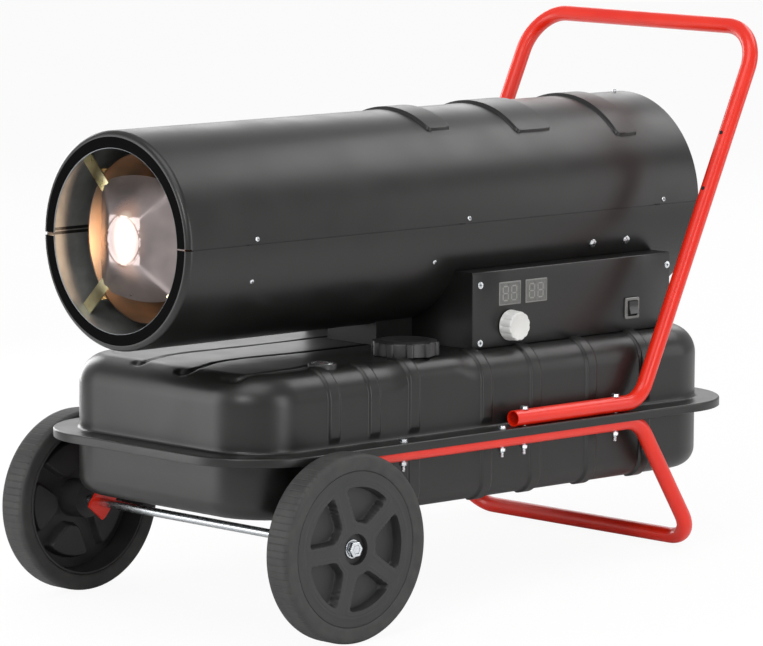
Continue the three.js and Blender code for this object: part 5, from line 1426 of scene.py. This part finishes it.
cap_rows = [(39.7, 237.0, 0), (40.6, 220.9, 0), (42.4, 220.8, 1), (43, 221.4, 1), (43, 237.2, 1)]
cap_rows += [(42.6, 238.6, 1), (41.6, 239.4, 0.5), (39.5, 240.0, 0), (36.5, 240.3, 0), (35.4, 240.9, 0)]
cap_rows += [(31, 241, 0), (30, 240.4, 0), (28.8, 239.6, 0), (0.01, 239.4, 0)]
across, up, height = swelled(cap_rows, 240, lug_swell)
cap_points = np.column_stack([CAP_X + across, CAP_Y + up, height])
cap_faces = net(len(cap_rows), 240, close_columns=True)
make_piece("filler_cap", cap_points, cap_faces, black_abs, "black_plastic", ["fuel_cap"], body="screw_cap")
GAUGE_X, GAUGE_Y = 152, 62
gauge_profile = [(0.01, 222.3), (14, 222.3), (14, 223.9), (14.9, 224.9)]
gauge_profile += [(17.8, 224.95), (18.7, 224.2), (19, 223), (19, 217.4)]
make_piece(
    "gauge_ring", *turned(gauge_profile, (GAUGE_X, GAUGE_Y, 0), "z", 72, closed=False), black_abs,
    "black_plastic", ["gauge_body"], crease=30
)
stem_profile = [(7.4, 220.4), (7.4, 134), (0.01, 134)]
make_piece(
    "gauge_stem", *turned(stem_profile, (GAUGE_X, GAUGE_Y, 0), "z", 32, closed=False), black_abs,
    "black_plastic"
)
dial_marks = []
for k in range(9):
    angle = math.radians(-50 + 85 * k / 8)
    way = np.array([math.cos(angle), math.sin(angle), 0])
    side = np.array([-math.sin(angle), math.cos(angle), 0])
    half = 0.55 if k % 4 == 0 else 0.3
    centre = np.array([GAUGE_X, GAUGE_Y, 222.36])
    mark = ((9.6, -half), (13.2, -half), (13.2, half), (9.6, half))
    corners = [centre + way * r + side * w for r, w in mark]
    dial_marks.append((corners, [[0, 1, 2, 3]]))
make_piece("gauge_marks", *joined(dial_marks), silver_abs, "pale_plastic")
print("cap points:", len(cap_points))

# %% [markdown]
# The rear guard is welded wire: rings on crossed bars. Round wire is what tells it from a stamped grille,
# so the rings are turned from a round section and the bars are turned rods.

# %% Rear guard
GUARD_Y = 786.5
GUARD_RADIUS = 142.5
WIRE_RADIUS = 1.5
guard_parts = []
for k in range(4):
    middle = GUARD_RADIUS * (4 - k) / 4 - WIRE_RADIUS
    bends = np.arange(10) * 2 * math.pi / 10
    section = [(middle + WIRE_RADIUS * math.cos(a), WIRE_RADIUS * math.sin(a)) for a in bends]
    guard_parts.append(turned(section, (0, GUARD_Y, BARREL_Z), "y", 96))
for k in range(3):
    angle = k * math.pi / 3
    way = (math.cos(angle), 0, math.sin(angle))
    rod = [(0.01, -140.4), (WIRE_RADIUS, -140.4), (WIRE_RADIUS, 140.4), (0.01, 140.4)]
    guard_parts.append(turned(rod, (0, GUARD_Y, BARREL_Z), way, 10))
wire_guard = make_piece("wire_guard", *joined(guard_parts), zinc_plate, "zinc", ["rear_guard"], crease=50)
print("guard points:", len(wire_guard.data.vertices))

# %% [markdown]
# Everything else keeps its solid from the frame: the burner, fan, motor, pump, hoses and the pieces inside
# the tank and the box. Each gets the finish of its real material.

# %% Finishes of the carried-over solids
solid_finishes = [
    (zinc_plate, ["drain_plug", "filler_neck", "motor_bracket"]),
    (rolled_steel, ["fuel_strainer", "burner_plate", "motor_shaft", "pump_rotor"]),
    (cast_aluminium, ["fan", "motor", "pump_body", "pump_cover"]),
    (turned_brass, ["float_arm", "fuel_pickup", "nozzle_adapter"]),
    (black_abs, ["flame_sensor", "thermostat", "ignition_transformer", "cord_gland"]),
    (silver_abs, ["spark_igniter"]),
    (pointer_abs, ["gauge_pointer"]),
    (clear_acrylic, ["gauge_lens"]),
    (hose_rubber, ["cap_gasket", "fuel_hose", "air_hose"]),
    (filter_foam, ["air_filter"]),
    (board_laminate, ["control_board"]),
    (panel_powder_coat, ["control_box"]),
    (black_powder_coat, ["front_support"]),
]
finished = set()
for material, names in solid_finishes:
    finished.update(names)
    for name in names:
        for material_slot in frame["nodes"][name].material_slots:
            material_slot.material = material
kept = [name for name, solid in frame["nodes"].items() if not solid.hide_render]
print("kept without a finish:", sorted(set(kept) - finished))

# %% [markdown]
# The heater stands on a plain pale floor in soft studio light. A satin black object is seen by what it
# reflects, so the lamps are wide softboxes, and each is placed for the highlight that it makes. The floor
# and the surroundings show themselves white to the camera only, so the object keeps its contrast and the
# floor keeps a faint shadow.


# %% Floor and surroundings
def seen_directly(tree):
    path = add_node(tree, "ShaderNodeLightPath")
    rays = {"i0": path.outputs["Is Camera Ray"], "i1": path.outputs["Is Transmission Ray"]}
    return add_node(tree, "ShaderNodeMath", {"operation": "MAXIMUM"}, **rays).outputs["Value"]


FLOOR_SHOWN_WHITE = 0.93
SURROUNDINGS_STRENGTH = 0.52
floor_paint = finish("pale_floor", "#ececec", "#f2f2f2", 0.9, 400, 3, 0.05, Specular_IOR_Level=0.1)
tree = floor_paint.node_tree
white = add_node(tree, "ShaderNodeEmission", Color=(1, 1, 1, 1), Strength=1.0)
share = add_node(tree, "ShaderNodeMath", MULTIPLY, i0=seen_directly(tree), i1=FLOOR_SHOWN_WHITE)
bounced = tree.nodes["Principled BSDF"].outputs["BSDF"]
mix = add_node(tree, "ShaderNodeMixShader", i0=share.outputs["Value"], i1=bounced)
tree.links.new(white.outputs["Emission"], mix.inputs[2])
tree.links.new(mix.outputs["Shader"], tree.nodes["Material Output"].inputs["Surface"])
floor_mesh = bpy.data.meshes.new("floor")
floor_mesh.from_pydata([(-30, -30, 0), (30, -30, 0), (30, 30, 0), (-30, 30, 0)], [], [[0, 1, 2, 3]])
floor_mesh.materials.append(floor_paint)
floor = bpy.data.objects.new("floor", floor_mesh)
bpy.context.scene.collection.objects.link(floor)
floor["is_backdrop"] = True

world = bpy.data.worlds.new("studio")
bpy.context.scene.world = world
world.use_nodes = True
sky = world.node_tree
soft = sky.nodes["Background"]
soft.inputs["Color"].default_value = (1, 1, 1, 1)
soft.inputs["Strength"].default_value = SURROUNDINGS_STRENGTH
plain_white = add_node(sky, "ShaderNodeBackground", Color=(1, 1, 1, 1), Strength=1.0)
pick = add_node(sky, "ShaderNodeMixShader", i0=seen_directly(sky), i1=soft.outputs["Background"])
sky.links.new(plain_white.outputs["Background"], pick.inputs[2])
sky.links.new(pick.outputs["Shader"], sky.nodes["World Output"].inputs["Surface"])
print("floor and surroundings ready")

# %% [markdown]
# The brightness of a softbox is given as its radiance, where 1 is as bright as a white wall in good light.
# The one high up behind gives the grey band along the barrel. The two that stand on the floor, left and
# right of the camera, give the tank's rounded corner its two upright bands with a dark gap between. The
# backdrop lights every top edge at a grazing angle. One at the rear right lights the far end of the tank's
# near side, one on the far side draws the edges there, the overhead one fills the tops, and a small strong
# one shines into the mouth. A small warm lamp behind the deflector is the burner's flame.


# %% Lamps
def softbox(name, place, target, width, height, radiance):
    lamp = bpy.data.lights.new(name, "AREA")
    lamp.shape = "RECTANGLE"
    lamp.size = width
    lamp.size_y = height
    lamp.energy = radiance * math.pi * width * height
    holder = bpy.data.objects.new(name, lamp)
    bpy.context.scene.collection.objects.link(holder)
    holder.location = place
    holder.rotation_euler = (Vector(target) - Vector(place)).to_track_quat("-Z", "Y").to_euler()


softbox("high_behind", (0.4, 2.2, 2.4), (0.0, 0.1, 0.5), 1.8, 1.1, 3.0)
softbox("backdrop", (-2.4, 2.8, 1.65), (0.0, 0.0, 0.4), 2.8, 1.3, 2.1)
softbox("front_left", (-0.86, -1.6, 0.62), (0, -0.4, 0.3), 0.9, 1.2, 2.9)
softbox("front_right", (1.75, -0.2, 0.62), (0.2, -0.2, 0.3), 0.45, 1.2, 4.2)
softbox("rear_right", (1.5, 1.95, 0.7), (0.15, 0.5, 0.3), 0.5, 1.2, 2.2)
softbox("far_edge", (-1.9, 0.2, 0.7), (0, 0, 0.4), 0.6, 1.3, 5.0)
softbox("overhead", (0.6, -0.9, 2.7), (0, 0, 0.4), 1.8, 1.8, 2.4)
softbox("into_the_mouth", (0.9, -2.3, 1.5), (-0.1, -0.4, 0.5), 0.7, 0.7, 9.0)
flame = bpy.data.lights.new("burner_flame", "POINT")
flame.energy = 0.7
flame.color = (1.0, 0.7, 0.48)
flame.shadow_soft_size = 0.03
flame_holder = bpy.data.objects.new("burner_flame", flame)
bpy.context.scene.collection.objects.link(flame_holder)
flame_holder.location = set_down((0, -55, BARREL_Z))[0]
print("lamps:", [light.name for light in bpy.data.lights])

# %% Measure and finish
size = {
    "cad_box": [[float(v) for v in corner] for corner in cad_box],
    "visual_box": [[float(v) for v in corner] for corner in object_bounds()],
}
print(size)
